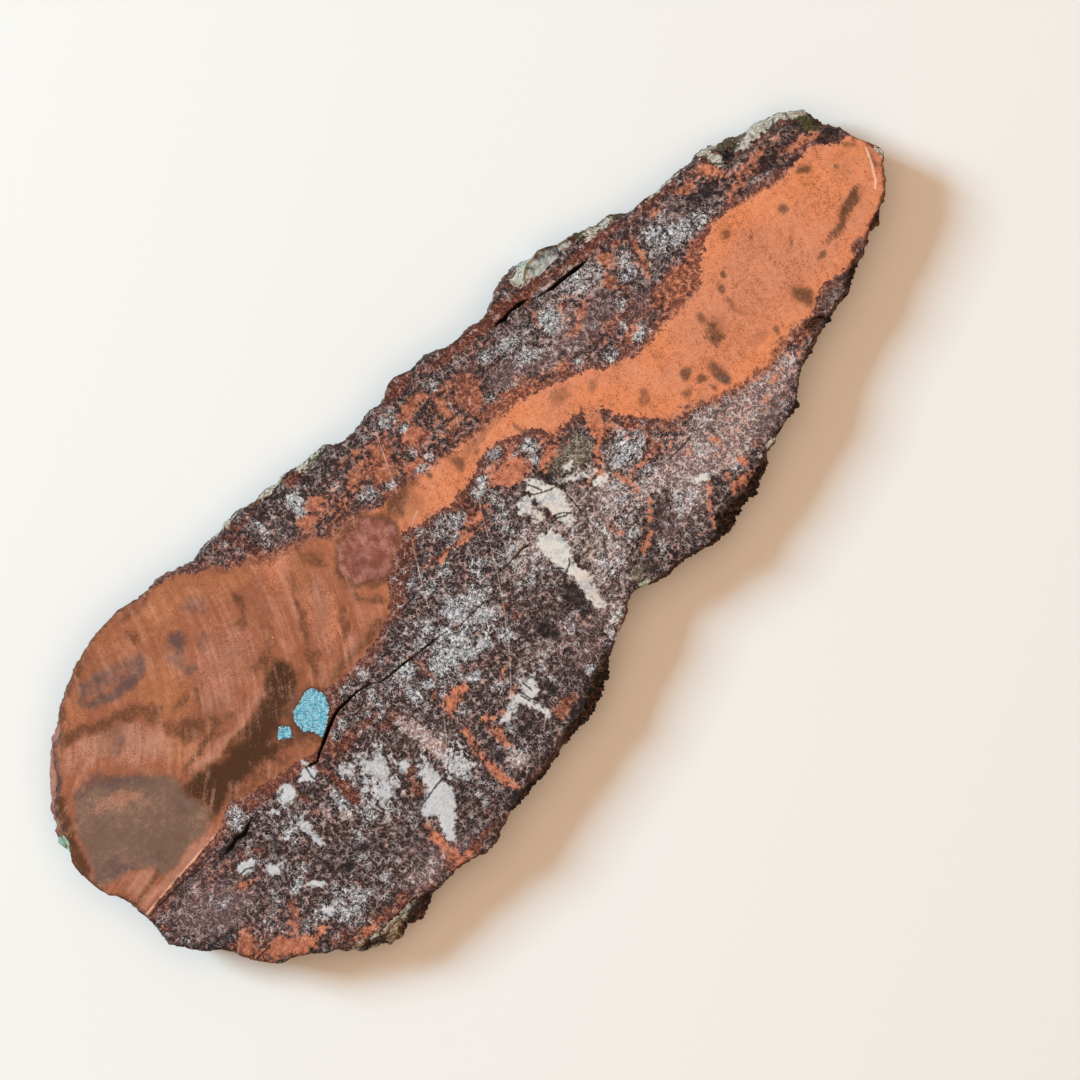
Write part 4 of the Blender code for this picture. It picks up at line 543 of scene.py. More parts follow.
HAIRLINES = [
    [(-33.4, -5.5), (-30, -5.9), (-26, -6.3), (-23.4, -6.8)],
    [(-22, -7.4), (-20, -7.8), (-15, -8.1), (-12.6, -8.1)], [(-10.4, -8.2), (-9, -8)],
    [(-6.8, -5.6), (-3, -5.9), (0.4, -5.7)], [(9.6, -6.1), (12, -6.4), (13.6, -7.4)],
    [(-43.4, -3.2), (-41.8, -4.4)], [(-22, -28.4), (-21.4, -31)], [(-19.6, -26.8), (-19.4, -29.4)],
    [(-67, -6.2), (-67.6, -8.2), (-67.3, -10.2)], [(-54.6, -30.2), (-50.6, -29.6), (-46.2, -29)],
    [(-115, -4.9), (-110, -4.7), (-104.6, -4.6), (-101, -5.4), (-96, -5.2)], [(-46.8, -24.2), (-45.2, -22)],
    [(-42.4, -27.8), (-40.6, -26.4), (-38.8, -25.2)],
    [(10.6, 2.6), (11.8, 0.8), (13, 0.2), (15, -0.8), (16.8, -1.2)], [(12.2, 3.6), (13.6, 0.4)],
    [(17, 2), (17.2, -1.6), (16.8, -5.4), (16.6, -8.6)], [(11.4, -5.4), (13.2, -6.2), (14.6, -7.8)],
    [(4.4, -16.4), (6.4, -15.6), (7.2, -14.6)], [(-94, -12.6), (-92.2, -12.7), (-91, -13.5)],
    [(-21.4, -27.4), (-21, -30.6), (-19.6, -32.8)], [(45.4, -14.6), (42, -14.8), (38.6, -14.6)],
    [(48.6, 38), (50, 36.6), (51.4, 34.6)], [(55.6, 36.2), (53.4, 34.4)], [(-104.6, -28.4), (-100.4, -28.4)],
]
# Pale polishing scratches, and ridges of metal that stand a little proud, each with a painted highlight.
SCRATCHES = [
    [(-1.8, 38.6), (-5.6, 31), (-9.6, 22.6)], [(-9.2, 16.8), (-13.8, 14.6), (-17.4, 8.6), (-22.8, -0.4)],
    [(13.6, 30.2), (10.6, 23.4)], [(17.2, 36.4), (14.8, 31.6)],
    [(3.6, 10.8), (0, 5.4), (-3.4, -0.6), (-6.8, -6.2), (-13.2, -15.4), (-17.4, -20.4)],
    [(-17.8, -21), (-20.6, -24), (-24.4, -27.8)], [(-34.4, -16.6), (-36.6, -18.8), (-40.4, -23.6)],
    [(-20.8, -35.4), (-26.4, -39.6)], [(-3.8, -34), (-6, -38.6)], [(-40.6, -23.8), (-45, -28)],
    [(26.4, -30.6), (29.2, -28.2)],
]
RIDGES = [
    [(-116.4, -4.3), (-110, -3.7), (-104, -3.3), (-96, -2.8), (-91, -2.5), (-88.2, -2.3)],
    [(118.3, 3.2), (117.2, 0.8), (116.5, -0.6), (115.6, -2), (114.8, -3.4), (113.4, -4.6)],
]
# Stains of the metal made of close short strokes.
LADDER = [
    (101.4, -4.9, 5, 1.2, 1, 14), (108.2, -2.6, 4.2, 1.2, 1, 14), (65.4, -0.8, 3.4, 1.6, 0.8, 24),
    (65.2, -4.2, 2.2, 1, 0.7, 24), (-4.2, 5, 2.8, 0.8, 0.8, -25), (110, 9.6, 2, 1, 0.5),
]
# Painted glints: small spots of highlight on the metal.
PAINTED_GLINTS = [
    (-51.8, 19.5), (-49.2, 18.7), (-36.8, 17.5), (-57.3, 22.5), (-45, 14), (-36, 13.2), (-2.8, 18.1),
    (-76.6, 26.5), (-76.2, 22.5), (42.4, -3.8), (-0.8, 15.4), (40.6, -2.6), (-33, 21.6), (117.4, 1.4),
]


# ---------------------------------------------------------------- fields from the traced shapes

# Blender seeds its vector noise from the clock, so each run would move the edges differently. With
# this seed every run gives the same ones.
NOISE_SEED = 12
FAR = 1e9
BLOTCH_REACH = 1.5
BLOTCH_FADE = 1.1
# Fields are held to this many mm on either side of an edge, which is all that the material reads.
FIELD_LIMIT = 5
FIELD_LIMITS = {"metal": 12, "patch": 4}
# Where the dark copper of the lobe turns into the bright copper of the band, along x.
# The lobe's darker and the band's brighter copper are partly the metal's tone, partly painted reflection.
BAND_START = -36
BAND_TURN = 34


def segment_distance(xy, a, b):
    """The distance of each point to a segment, and how far along it the nearest place is."""
    a, b = np.array(a, float), np.array(b, float)
    along = b - a
    share = np.clip(((xy - a) @ along) / max(along @ along, 1e-9), 0, 1)
    gap = xy - a - share[:, None] * along
    return np.sqrt((gap * gap).sum(1)), share


def inside_by(xy, outline):
    """How far each point is inside a closed outline; outside it is negative."""
    best = np.full(len(xy), FAR)
    inside = np.zeros(len(xy), bool)
    for i, (x1, y1) in enumerate(outline):
        x0, y0 = outline[i - 1]
        best = np.minimum(best, segment_distance(xy, (x0, y0), (x1, y1))[0])
        if y0 != y1:
            crosses = (y0 > xy[:, 1]) != (y1 > xy[:, 1])
            inside ^= crosses & (xy[:, 0] < (x1 - x0) * (xy[:, 1] - y0) / (y1 - y0) + x0)
    return np.where(inside, best, -best)


def path_distance(xy, path):
    best = np.full(len(xy), FAR)
    for a, b in zip(path, path[1:]):
        best = np.minimum(best, segment_distance(xy, a, b)[0])
    return best


def nearest_path(xy, paths):
    return np.min([path_distance(xy, path) for path in paths], axis=0)


def in_ellipse(xy, x, y, half_length, half_width, turn=0):
    """The ellipse's own radius at each point: 0 at its centre and 1 on its edge."""
    c, s = math.cos(math.radians(turn)), math.sin(math.radians(turn))
    dx, dy = xy[:, 0] - x, xy[:, 1] - y
    return np.hypot((dx * c + dy * s) / half_length, (-dx * s + dy * c) / half_width)


def patch_inside_by(xy, patch):
    return (1 - in_ellipse(xy, *patch)) * min(patch[2], patch[3])


def blotches(xy, spots):
    """The sum of soft blotches, each full at its middle and gone half as far again past its edge."""
    total = np.zeros(len(xy))
    for *shape, strength, turn in [spot if len(spot) == 6 else (*spot, 0) for spot in spots]:
        edge = np.clip((BLOTCH_REACH - in_ellipse(xy, *shape, turn)) / BLOTCH_FADE, 0, 1)
        total += strength * edge * edge * (3 - 2 * edge)
    return total


def level_noise(places, size, lift=(0, 0, 0)):
    """A smooth level shift of up to about 1 for each place in space."""
    return np.array([noise.noise_vector(Vector(p) / size + Vector(lift))[:2] for p in places])


def warped(xy, size, amount, seed):
    """The points moved about by smooth noise, so that traced edges wander as natural ones do."""
    return xy + amount * level_noise(np.pad(xy, ((0, 0), (0, 1))), size, (seed, seed * 2, seed * 3))


def crack_depth(xy):
    """The depth of the open cracks at each point, and how far each point is inside a crack."""
    depth = np.zeros(len(xy))
    inside = np.full(len(xy), -9.0)
    for path in CRACKS:
        for a, b in zip(path, path[1:]):
            away, share = segment_distance(xy, a[:2], b[:2])
            half = a[2] + share * (b[2] - a[2])
            deep = a[3] + share * (b[3] - a[3])
            open_share = np.clip(1 - away / half, 0, 1)
            depth = np.maximum(depth, deep * np.sqrt(open_share))
            inside = np.maximum(inside, half - away)
    return depth, inside


def surface_fields(xy, seed=1):
    """Every field that the material reads, for points in the slab's own plane."""
    near = warped(warped(xy, 5.0, 0.7, seed), 1.7, 0.4, seed + 1)
    soft = warped(near, 2.4, 0.6, seed + 2)
    patch = np.max([patch_inside_by(near, patch) for patch in METAL_PATCHES], axis=0)
    veins = np.max([half - path_distance(near, path) for path, half in METAL_VEINS], axis=0)
    fields = {"metal": inside_by(near, METAL), "patch": np.maximum(patch, veins)}
    steady = xy + 0.3 * (near - xy)
    minerals = (("quartz", QUARTZ, near), ("feldspar", FELDSPAR, near), ("blue", BLUE, steady))
    for name, crystals, place in minerals:
        fields[name] = np.max([inside_by(place, outline) for outline in crystals], axis=0)
    outlines = {"cuprite": CUPRITE, "grey_flat": GREY_FLAT, "olive_band": OLIVE_BAND, "bevel": BEVEL}
    fields |= {name: inside_by(soft, outline) for name, outline in outlines.items()}
    for name, values in fields.items():
        limit = FIELD_LIMITS.get(name, FIELD_LIMIT)
        fields[name] = np.clip(values, -limit, limit)
    spots = {
        "brown": BROWN, "slate": SLATE, "rosy": ROSY, "amber": AMBER, "bright": BRIGHT, "blush": BLUSH,
        "olive": OLIVE, "white": WHITE, "dark": DARK, "rust": RUST, "haze": HAZE, "mauve": MAUVE,
        "flecks": FLECKS, "lace": LACE, "calm": CALM, "soft_edge": SOFT_EDGE, "powder": POWDER, "ash": ASH,
        "ladder": LADDER,
    }
    fields |= {name: blotches(soft, listed) for name, listed in spots.items()}
    fields["band"] = np.clip((soft[:, 0] - BAND_START) / BAND_TURN, 0, 1)
    fields["hairline"] = nearest_path(steady, HAIRLINES)
    fields["scratch"] = nearest_path(xy, SCRATCHES)
    fields["ridge"] = nearest_path(xy, RIDGES)
    # Distance to the nearest painted glint.
    fields["painted_glint"] = np.min([np.hypot(*(xy - s).T) for s in np.array(PAINTED_GLINTS)], axis=0)
    return fields


# ---------------------------------------------------------------- the mesh

WELD = 2e-6
FLAT = 0.01
WALL_CUTS = 2
# The spacing of the points on the polished face, near its cracks and thin lines, and on the back, and
# how far the points stay from the rim.
FACE_PITCH = 0.59
FINE_PITCH = 0.3
BACK_PITCH = 2.4
FACE_GAP = 0.35
BACK_GAP = 0.7
NEAR_CRACK = 0.7
NEAR_LINE = 0.5
RIM_CHIP = 0.45
# Crusts on the wall get smaller faces, where their share and their height are above these.
CLOSE_SHARE = 0.5
CLOSE_FROM = 5.5
CREVICE_DEPTH = 0.6
CREVICE_HALF = 0.45
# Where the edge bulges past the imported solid's: the middle, the reach and the shift.
BULGES = [(113.6, 17.4, 4.2, 1.3, 0.2), (119.6, 1, 3, 0.5, 0)]
HOLLOW = 1.6
# The wall and the back show what the face does, moved about or shifted by this much.
WALL_DRIFT = 2.2
BACK_SCALE = 0.95
BACK_SHIFT = np.array((2.5, -1.5))
# The sawn back reads the fine textures from a part of them that the face doesn't use.
BACK_MIRROR = (-1, 1, 0)
BACK_PLAN = (300, 0, 0)
# The polishing strokes are arcs around this point: their width, their length and where it is true.
STROKE_PIVOT = np.array((-126, 60))
STROKE_WIDTH = 1.5
STROKE_LENGTH = 22
STROKE_RADIUS = 80


def packed_wall():
    """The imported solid's wall alone, without its flat faces and the cracks cut into them."""
    bm = bmesh.new()
    bm.from_mesh(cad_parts[NODE].data)
    bmesh.ops.remove_doubles(bm, verts=bm.verts, dist=WELD)
    top = THICKNESS * MM

    def is_flat(face):
        heights = [v.co.z for v in face.verts]
        return min(heights) > top - WELD or max(heights) < WELD

    sides = [f for f in bm.faces if not is_flat(f)]
    first = max(sides, key=lambda f: f.calc_center_median().x)
    wall, front = {first}, [first]
    while front:
        face = front.pop()
        for other in [f for e in face.edges for f in e.link_faces]:
            if other not in wall and not is_flat(other):
                wall.add(other)
                front.append(other)
    bmesh.ops.delete(bm, geom=[f for f in bm.faces if f not in wall], context="FACES")
    return bm


def rock_relief(place, rough, crust):
    """How far broken rock stands out at a place, in mm: lumps, grains and the gaps between them."""
    lumps = noise.fractal(place / 4.2, 0.7, 2.1, 5)
    first, second = noise.voronoi(place / 2.0)[0][:2]
    gaps = max(0.0, 0.16 - (second - first)) / 0.16
    grains = noise.fractal(place / 1.1, 0.7, 2.0, 3)
    relief = 0.5 * lumps + 0.3 * (0.4 - first) - 0.3 * gaps + 0.3 * rough * grains
    boulder = noise.voronoi(place / 4.6 + Vector((7, 3, 1)))[0][0]
    return relief * (1 - 0.85 * crust) + crust * (0.6 - 1.2 * boulder ** 2)


def outward_directions(bm):
    """The level direction out of the wall at every vertex, evened out over its neighbours."""
    out = {v: v.normal.xy.to_3d().normalized() for v in bm.verts}
    for _ in range(6):
        out = {v: sum((out[e.other_vert(v)] for e in v.link_edges), out[v]).normalized() for v in bm.verts}
    return out


def refine_wall(bm):
    """Divides the wall into small faces and gives it broken relief that fades at its two edges."""
    bmesh.ops.subdivide_edges(bm, edges=bm.edges[:], cuts=WALL_CUTS, use_grid_fill=True)
    inner = [v for v in bm.verts if not v.is_boundary]
    for _ in range(2):
        bmesh.ops.smooth_vert(bm, verts=inner, factor=0.5, use_axis_x=True, use_axis_y=True, use_axis_z=True)
    for x, y, reach, *shift in BULGES:
        for v in bm.verts:
            away = (v.co.xy / MM - Vector(CENTRING) - Vector((x, y))).length / reach
            v.co.xy += Vector(shift) * (max(0.0, 1 - away ** 2) ** 2 * MM)
    xy = np.array([v.co.xy for v in bm.verts]) / MM - CENTRING
    crusted = blotches(xy, RIND_WHITE + RIND_BLACK_AND_SHADE + RIND_MOSS + RIND_GLASS) > CLOSE_SHARE
    close = {v for v, share in zip(bm.verts, crusted) if share and v.co.z > CLOSE_FROM * MM}
    edges = [e for e in bm.edges if e.verts[0] in close and e.verts[1] in close]
    bmesh.ops.subdivide_edges(bm, edges=edges, cuts=1, use_grid_fill=True)
    bmesh.ops.triangulate(bm, faces=bm.faces[:])
    bm.normal_update()
    layer = bm.verts.layers.float_vector.new("outward")
    normals = {v: v.normal.copy() for v in bm.verts}
    outward = outward_directions(bm)
    xy = np.array([v.co.xy for v in bm.verts]) / MM - CENTRING
    smooth = np.clip(blotches(xy, RIND_GLASS) + 0.5 * blotches(xy, RIND_PINK), 0, 1)
    rough = 1 - 0.7 * smooth + 0.5 * np.clip(blotches(xy, RIND_BLACK_AND_SHADE), 0, 1)
    crust = np.clip(blotches(xy, RIND_WHITE), 0, 1)
    split = np.clip(1.2 - nearest_path(xy, CREVICES) / CREVICE_HALF, 0, 1)
    for v, share, lump, cut in zip(bm.verts, rough, crust, split):
        place = v.co / MM
        away = v[layer] = outward[v]
        if v.is_boundary:
            broken = max(0.0, noise.fractal(place / 1.4, 0.6, 2.0, 3) + 0.15)
            v.co -= away * (RIM_CHIP * share * (1 - 0.8 * lump) * broken) * MM
            continue
        fade = min(1.0, (THICKNESS - place.z) / 1.2 + 0.15, place.z / 0.8 + 0.2)
        below = min(1.0, max(0.0, (THICKNESS - place.z - 2.0) / 3.0))
        hollow = max(0.0, noise.fractal(place / 5.5 + Vector((3, 8, 5)), 0.8, 2.2, 4) + 0.1)
        height = rock_relief(place, share, lump) * share * fade
        height = height - CREVICE_DEPTH * cut - HOLLOW * hollow * below
        v.co += (away + normals[v]).normalized() * (height * MM)
        v.co.z = min(max(v.co.z, 0.02 * MM), (THICKNESS - 0.05) * MM)


def rim_loops(bm):
    """The wall's two open edges as vertices in order: the polished face's and the back's."""
    loops, seen = [], set()
    for start in [v for v in bm.verts if v.is_boundary]:
        if start in seen:
            continue
        loop, here, last = [], start, None
        while here not in seen:
            seen.add(here)
            loop.append(here)
            ahead = [e.other_vert(here) for e in here.link_edges if e.is_boundary]
            step = [v for v in ahead if v is not last and v not in seen] or ahead
            here, last = step[0], here
        loops.append(loop)
    loops.sort(key=len)
    return sorted(loops[-2:], key=lambda loop: -loop[0].co.z)


def lattice(low, high, pitch, seed):
    """Evenly spread points with a little jitter."""
    rng = np.random.default_rng(seed)
    rows = np.arange(low[1], high[1], pitch * 0.866)
    points = []
    for i, y in enumerate(rows):
        x = np.arange(low[0] + (i % 2) * pitch / 2, high[0], pitch)
        points.append(np.stack([x, np.full(len(x), y)], 1))
    points = np.concatenate(points)
    return points + rng.uniform(-0.18, 0.18, points.shape) * pitch


def near_rim(xy, tree):
    return np.array([tree.find((x, y, 0))[2] for x, y in xy])


def rim_tree(loop_xy):
    """A search tree over the rim, with points between its corners."""
    between = [loop_xy * (1 - t) + np.roll(loop_xy, -1, 0) * t for t in (0, 0.25, 0.5, 0.75)]
    points = np.concatenate(between)
    tree = kdtree.KDTree(len(points))
    for i, (x, y) in enumerate(points):
        tree.insert((x, y, 0), i)
    tree.balance()
    return tree


def fill(bm, loop, points):
    """Fills a closed rim with triangles through the points."""
    rim = [v.co.xy / MM for v in loop]
    height = loop[0].co.z
    flat = rim + [Vector(p) for p in points]
    made, _, faces, origins, _, _ = delaunay_2d_cdt(flat, [], [list(range(len(rim)))], 1, 1e-5)
    verts = []
    for place, origin in zip(made, origins):
        on_rim = [i for i in origin if i < len(loop)]
        if on_rim:
            verts.append(loop[on_rim[0]])
        else:
            verts.append(bm.verts.new((place.x * MM, place.y * MM, height)))
    for face in faces:
        corners = [verts[i] for i in face]
        if len(set(corners)) == len(corners):
            bm.faces.new(corners)


def near_detail(xy):
    """Which points are close to an open crack or to a thin line."""
    xy = xy - CENTRING
    line = nearest_path(xy, HAIRLINES + SCRATCHES + RIDGES)
    return (crack_depth(xy)[1] > -NEAR_CRACK) | (line < NEAR_LINE)


def detail_points(low, high):
    """Close-set points where the face has cracks or lines, and plain spacing elsewhere."""
    coarse = lattice(low, high, FACE_PITCH, 3)
    fine = lattice(low, high, FINE_PITCH, 4)
    return np.concatenate([coarse[~near_detail(coarse)], fine[near_detail(fine)]])


def build_slab():
    bm = packed_wall()
    refine_wall(bm)
    face_loop, back_loop = rim_loops(bm)
    trees = []
    for loop, gap in ((face_loop, FACE_GAP), (back_loop, BACK_GAP)):
        rim = np.array([v.co.xy for v in loop]) / MM
        low, high = rim.min(0), rim.max(0)
        points = detail_points(low, high) if loop is face_loop else lattice(low, high, BACK_PITCH, 5)
        tree = rim_tree(rim)
        trees.append(tree)
        points = points[inside_roughly(points, rim)]
        points = points[near_rim(points, tree) > gap]
        fill(bm, loop, points)
    bmesh.ops.recalc_face_normals(bm, faces=bm.faces[:])
    mesh = bpy.data.meshes.new("slab")
    bm.to_mesh(mesh)
    bm.free()
    return mesh, trees


def inside_roughly(points, rim):
    """Which points are inside a rim, by counting the rim's crossings."""
    inside = np.zeros(len(points), bool)
    x, y = points.T
    for (x0, y0), (x1, y1) in zip(rim, np.roll(rim, -1, 0)):
        if y0 != y1:
            rows = np.flatnonzero((y0 > y) != (y1 > y))
            inside[rows] ^= x[rows] < (x1 - x0) * (y[rows] - y0) / (y1 - y0) + x0
    return inside


def give(mesh, name, values):
    mesh.attributes.new(name, "FLOAT", "POINT").data.foreach_set("value", values.astype(np.float32))


def lay_fields(mesh, trees):
    """Writes every field to the mesh, and lifts or lowers its faces with what they are made of."""
    count = len(mesh.vertices)
    co = np.empty(count * 3)
    mesh.vertices.foreach_get("co", co)
    co = co.reshape(-1, 3) / MM
    face_tree, back_tree = trees
    on_face = co[:, 2] > THICKNESS - FLAT
    on_back = co[:, 2] < FLAT
    wall = ~on_face & ~on_back
    xy = co[:, :2].copy()
    near = np.array([face_tree.find((x, y, 0))[0][:2] for x, y in xy[wall]])
    xy[wall] = near + WALL_DRIFT * level_noise(co[wall], 6)
    depth = THICKNESS - co[:, 2]
    xy[on_back] = xy[on_back] * BACK_SCALE + BACK_SHIFT
    xy -= CENTRING
    fields = surface_fields(xy)
    slab_xy = co[:, :2] - CENTRING
    rind_xy = slab_xy.copy()
    stray = np.clip(depth[wall] - 1.5, 0, 4) * 1.6
    rind_xy[wall] += level_noise(co[wall], 4, (9, 4, 2)) * stray[:, None]
    # The black share is black crust and painted shade.
    for name, spots in (("green", RIND_GREEN), ("crust", RIND_WHITE), ("rosy", RIND_PINK),
                        ("glass", RIND_GLASS), ("black_and_shade", RIND_BLACK_AND_SHADE), ("moss", RIND_MOSS)):
        fields["rind_" + name] = blotches(rind_xy, spots)
    rim_gap = np.zeros(count)
    rim_gap[on_face] = near_rim(co[on_face, :2], face_tree)
    back_gap = np.zeros(count)
    back_gap[on_back] = near_rim(co[on_back, :2], back_tree)
    # Painted shade along the clefts of the crust.
    fields["crevice_shade"] = np.clip(1.3 - nearest_path(slab_xy, CREVICES) / 0.4, 0, 1)
    fields["flat_in"] = np.where(wall, -np.minimum(depth, co[:, 2]), rim_gap + back_gap)
    fields["sawn"] = on_back.astype(float)
    deep, crack_in = crack_depth(slab_xy)
    fields["crack"] = np.where(on_face, crack_in, -9)
    for name, values in fields.items():
        give(mesh, name, values)
    lay_plan(mesh, co, wall, on_back)
    co[:, 2] += np.where(on_face, face_relief(co, fields, deep, rim_gap), 0)
    mesh.vertices.foreach_set("co", (co * MM).ravel())
    mesh.update()


def lay_plan(mesh, co, wall, on_back):
    """Flat coordinates for the fine textures, with the wall unfolded outward around the face."""
    plan = np.zeros((len(co), 3))
    plan[:, :2] = co[:, :2]
    outward = np.empty(len(co) * 3)
    mesh.attributes["outward"].data.foreach_get("vector", outward)
    plan[wall, :2] += outward.reshape(-1, 3)[wall, :2] * (THICKNESS - co[wall, 2])[:, None]
    corner = np.empty(len(mesh.loops), np.int32)
    mesh.loops.foreach_get("vertex_index", corner)
    flat_back = np.repeat([all(on_back[list(p.vertices)]) for p in mesh.polygons],
                          [p.loop_total for p in mesh.polygons])
    place = plan[corner]
    place[flat_back] = co[corner][flat_back] * BACK_MIRROR + BACK_PLAN
    mesh.attributes.new("plan", "FLOAT_VECTOR", "CORNER").data.foreach_set("vector", place.ravel())
    from_pivot = place[:, :2] - CENTRING - STROKE_PIVOT
    reach = np.hypot(*from_pivot.T)
    turn = np.arctan2(from_pivot[:, 1], from_pivot[:, 0])
    strokes = np.stack([reach / STROKE_WIDTH, turn * STROKE_RADIUS / STROKE_LENGTH, 0 * turn], 1)
    mesh.attributes.new("strokes", "FLOAT_VECTOR", "CORNER").data.foreach_set("vector", strokes.ravel())


def face_relief(co, fields, deep, rim_gap):
    """The small heights of the polished face, in mm: hard minerals stand a little proud."""
    grain = np.array([noise.noise(Vector(p) / 0.9) for p in co])
    swell = np.array([noise.noise(Vector(p) / 3.5) for p in co])
    rock = np.clip(0.5 - fields["metal"] / 0.5, 0, 1)
    hard = np.clip(0.5 + fields["quartz"] / 0.4, 0, 1)
    soft = np.clip(0.5 + fields["blue"] / 0.3, 0, 1)
    z = -rock * (1 - hard) * (0.05 + 0.05 * np.clip(grain + 0.3, 0, 1)) + 0.015 * swell
    z -= soft * (0.08 + 0.1 * np.clip(grain, 0, 1))
    z += 0.1 * np.exp(-(fields["ridge"] / 0.3) ** 2)
    z -= 0.25 * np.clip(fields["dark"] - 0.5, 0, 1) * np.clip(grain + 0.6, 0, 1) * rock
    z -= 0.22 * np.exp(-(rim_gap / 0.35) ** 2) * np.clip(grain + 0.35, 0, 1)
    crusty = np.clip(fields["rind_crust"], 0, 1) * np.clip(1 - rim_gap / 1.8, 0, 1)
    glassy = np.clip(fields["rind_glass"], 0, 1) * np.clip(1 - rim_gap / 4.0, 0, 1)
    z -= crusty * (0.25 + 0.5 * np.clip(swell + 0.2, 0, 1))
    z -= glassy * (0.5 + 0.6 * np.clip(swell + 0.3, 0, 1))
    return z - deep


# ---------------------------------------------------------------- shader building


class Value:
    """A socket of the shader, with arithmetic that adds Math nodes."""

    def __init__(self, graph, socket):
        self.graph, self.socket = graph, socket

    def math(self, operation, *others, clamp=False):
        node = self.graph.node("ShaderNodeMath", operation=operation, use_clamp=clamp)
        for slot, item in enumerate((self, *others)):
            self.graph.feed(node.inputs[slot], item)
        return Value(self.graph, node.outputs[0])

    def __add__(self, other):
        return self.math("ADD", other)

    def __sub__(self, other):
        return self.math("SUBTRACT", other)

    def __mul__(self, other):
        return self.math("MULTIPLY", other)

    def clamped(self):
        return self.math("ADD", 0.0, clamp=True)

    def inverse(self):
        return self.math("MULTIPLY_ADD", -1.0, 1.0)

    def spread(self, amount):
        """Noise between 0 and 1 as a shift to both sides of 0."""
        return (self - 0.5) * amount

    def rise(self, low, high):
        """0 below low, 1 above high, and a smooth step between them."""
        node = self.graph.node("ShaderNodeMapRange", interpolation_type="SMOOTHSTEP")
        for name, item in (("Value", self), ("From Min", low), ("From Max", high)):
            self.graph.feed(node.inputs[name], item)
        return Value(self.graph, node.outputs[0])


class Graph:
    def __init__(self, material):
        material.use_nodes = True
        self.tree = material.node_tree
        self.shader = self.tree.nodes["Principled BSDF"]
        self.here = self.node("ShaderNodeAttribute", attribute_name="plan").outputs["Vector"]
        self.strokes = self.node("ShaderNodeAttribute", attribute_name="strokes").outputs["Vector"]

    def node(self, kind, **settings):
        made = self.tree.nodes.new(kind)
        for name, item in settings.items():
            setattr(made, name, item)
        return made

    def feed(self, socket, item):
        if isinstance(item, Value):
            self.tree.links.new(item.socket, socket)
        elif isinstance(item, tuple) and socket.type == "RGBA":
            socket.default_value = (*item, 1.0)
        elif isinstance(item, bpy.types.NodeSocket):
            self.tree.links.new(item, socket)
        else:
            socket.default_value = item

    def mapped(self, vector, scale=(1, 1, 1), turn=0.0, shift=(0, 0, 0)):
        node = self.node("ShaderNodeMapping")
        self.feed(node.inputs["Vector"], vector)
        node.inputs["Scale"].default_value = scale
        node.inputs["Rotation"].default_value = (0, 0, math.radians(turn))
        node.inputs["Location"].default_value = shift
        return node.outputs[0]

    def field(self, name):
        return Value(self, self.node("ShaderNodeAttribute", attribute_name=name).outputs["Fac"])

    def noise(self, size, detail=2.0, roughness=0.55, shift=0.0, place=None):
        node = self.node("ShaderNodeTexNoise", noise_dimensions="2D")
        self.feed(node.inputs["Vector"], place or self.mapped(self.here, shift=(shift, shift * 1.7, 0)))
        node.inputs["Scale"].default_value = 1 / size
        node.inputs["Detail"].default_value = detail
        node.inputs["Roughness"].default_value = roughness
        return Value(self, node.outputs["Fac"])

    def web(self, size, width, shift):
        """Worm-like lines and small rings: the places where smooth noise is near its middle."""
        away = (self.noise(size, 1.0, 0.5, shift) - 0.5).math("ABSOLUTE")
        return (away * -1.0 + width).rise(-0.025, 0.02)

    def mix(self, share, a, b):
        node = self.node("ShaderNodeMix", data_type="RGBA", clamp_factor=True)
        for slot, item in ((0, share), (6, a), (7, b)):
            self.feed(node.inputs[slot], item)
        return Value(self, node.outputs[2])

    def bump(self, height, depth, strength, under=None):
        node = self.node("ShaderNodeBump")
        self.feed(node.inputs["Height"], height)
        node.inputs["Distance"].default_value = depth * MM
        self.feed(node.inputs["Strength"], strength)
        if under:
            self.feed(node.inputs["Normal"], under)
        return Value(self, node.outputs[0])


# ---------------------------------------------------------------- the slab's material


def srgb(red, green, blue):
    """A colour given in the usual 0 to 255 values, as the shader's linear values."""
    shares = [c / 255 for c in (red, green, blue)]
    return tuple(c / 12.92 if c < 0.0404 else ((c + 0.055) / 1.055) ** 2.4 for c in shares)


# Dark lobe and bright band: partly the copper's own tone, partly painted reflection.
COPPER_LOBE = srgb(160, 98, 70)
COPPER_BAND = srgb(218, 137, 98)
COPPER_PALE = srgb(228, 168, 140)
COPPER_SHADE = srgb(98, 56, 38)
COPPER_FLECK = srgb(218, 138, 104)
COPPER_FLECK_DEEP = srgb(168, 98, 72)
TARNISH_GREY = srgb(118, 95, 81)
TARNISH_OLIVE = srgb(64, 39, 19)
TARNISH_BEVEL = srgb(82, 50, 28)
CUPRITE_RED = srgb(122, 68, 62)
CUPRITE_PINK = srgb(160, 108, 102)
ROCK_BLACK = srgb(28, 20, 21)
ROCK_MAROON = srgb(62, 42, 41)
ROCK_BROWN = srgb(116, 88, 82)
ROCK_PALE = srgb(166, 150, 148)
ROCK_RUST_DARK = srgb(106, 59, 47)
ROCK_RUST = srgb(174, 106, 80)
CRYSTAL_WHITE = srgb(238, 239, 241)
CRYSTAL_GREY = srgb(172, 172, 178)
CRYSTAL_CREAM = srgb(220, 196, 182)
CRYSTAL_PINK = srgb(198, 168, 160)
FELDSPAR_DARK = srgb(146, 112, 106)
QUARTZ_WHITE = srgb(223, 219, 211)
QUARTZ_GREY = srgb(180, 183, 188)
QUARTZ_LAVENDER = srgb(196, 198, 207)
SILICATE_BLUE = srgb(66, 150, 180)
SILICATE_PALE = srgb(134, 194, 208)
SILICATE_TEAL = srgb(40, 100, 118)
RIND_DARK = srgb(34, 28, 24)
RIND_BROWN = srgb(92, 58, 46)
RIND_RUST = srgb(136, 72, 48)
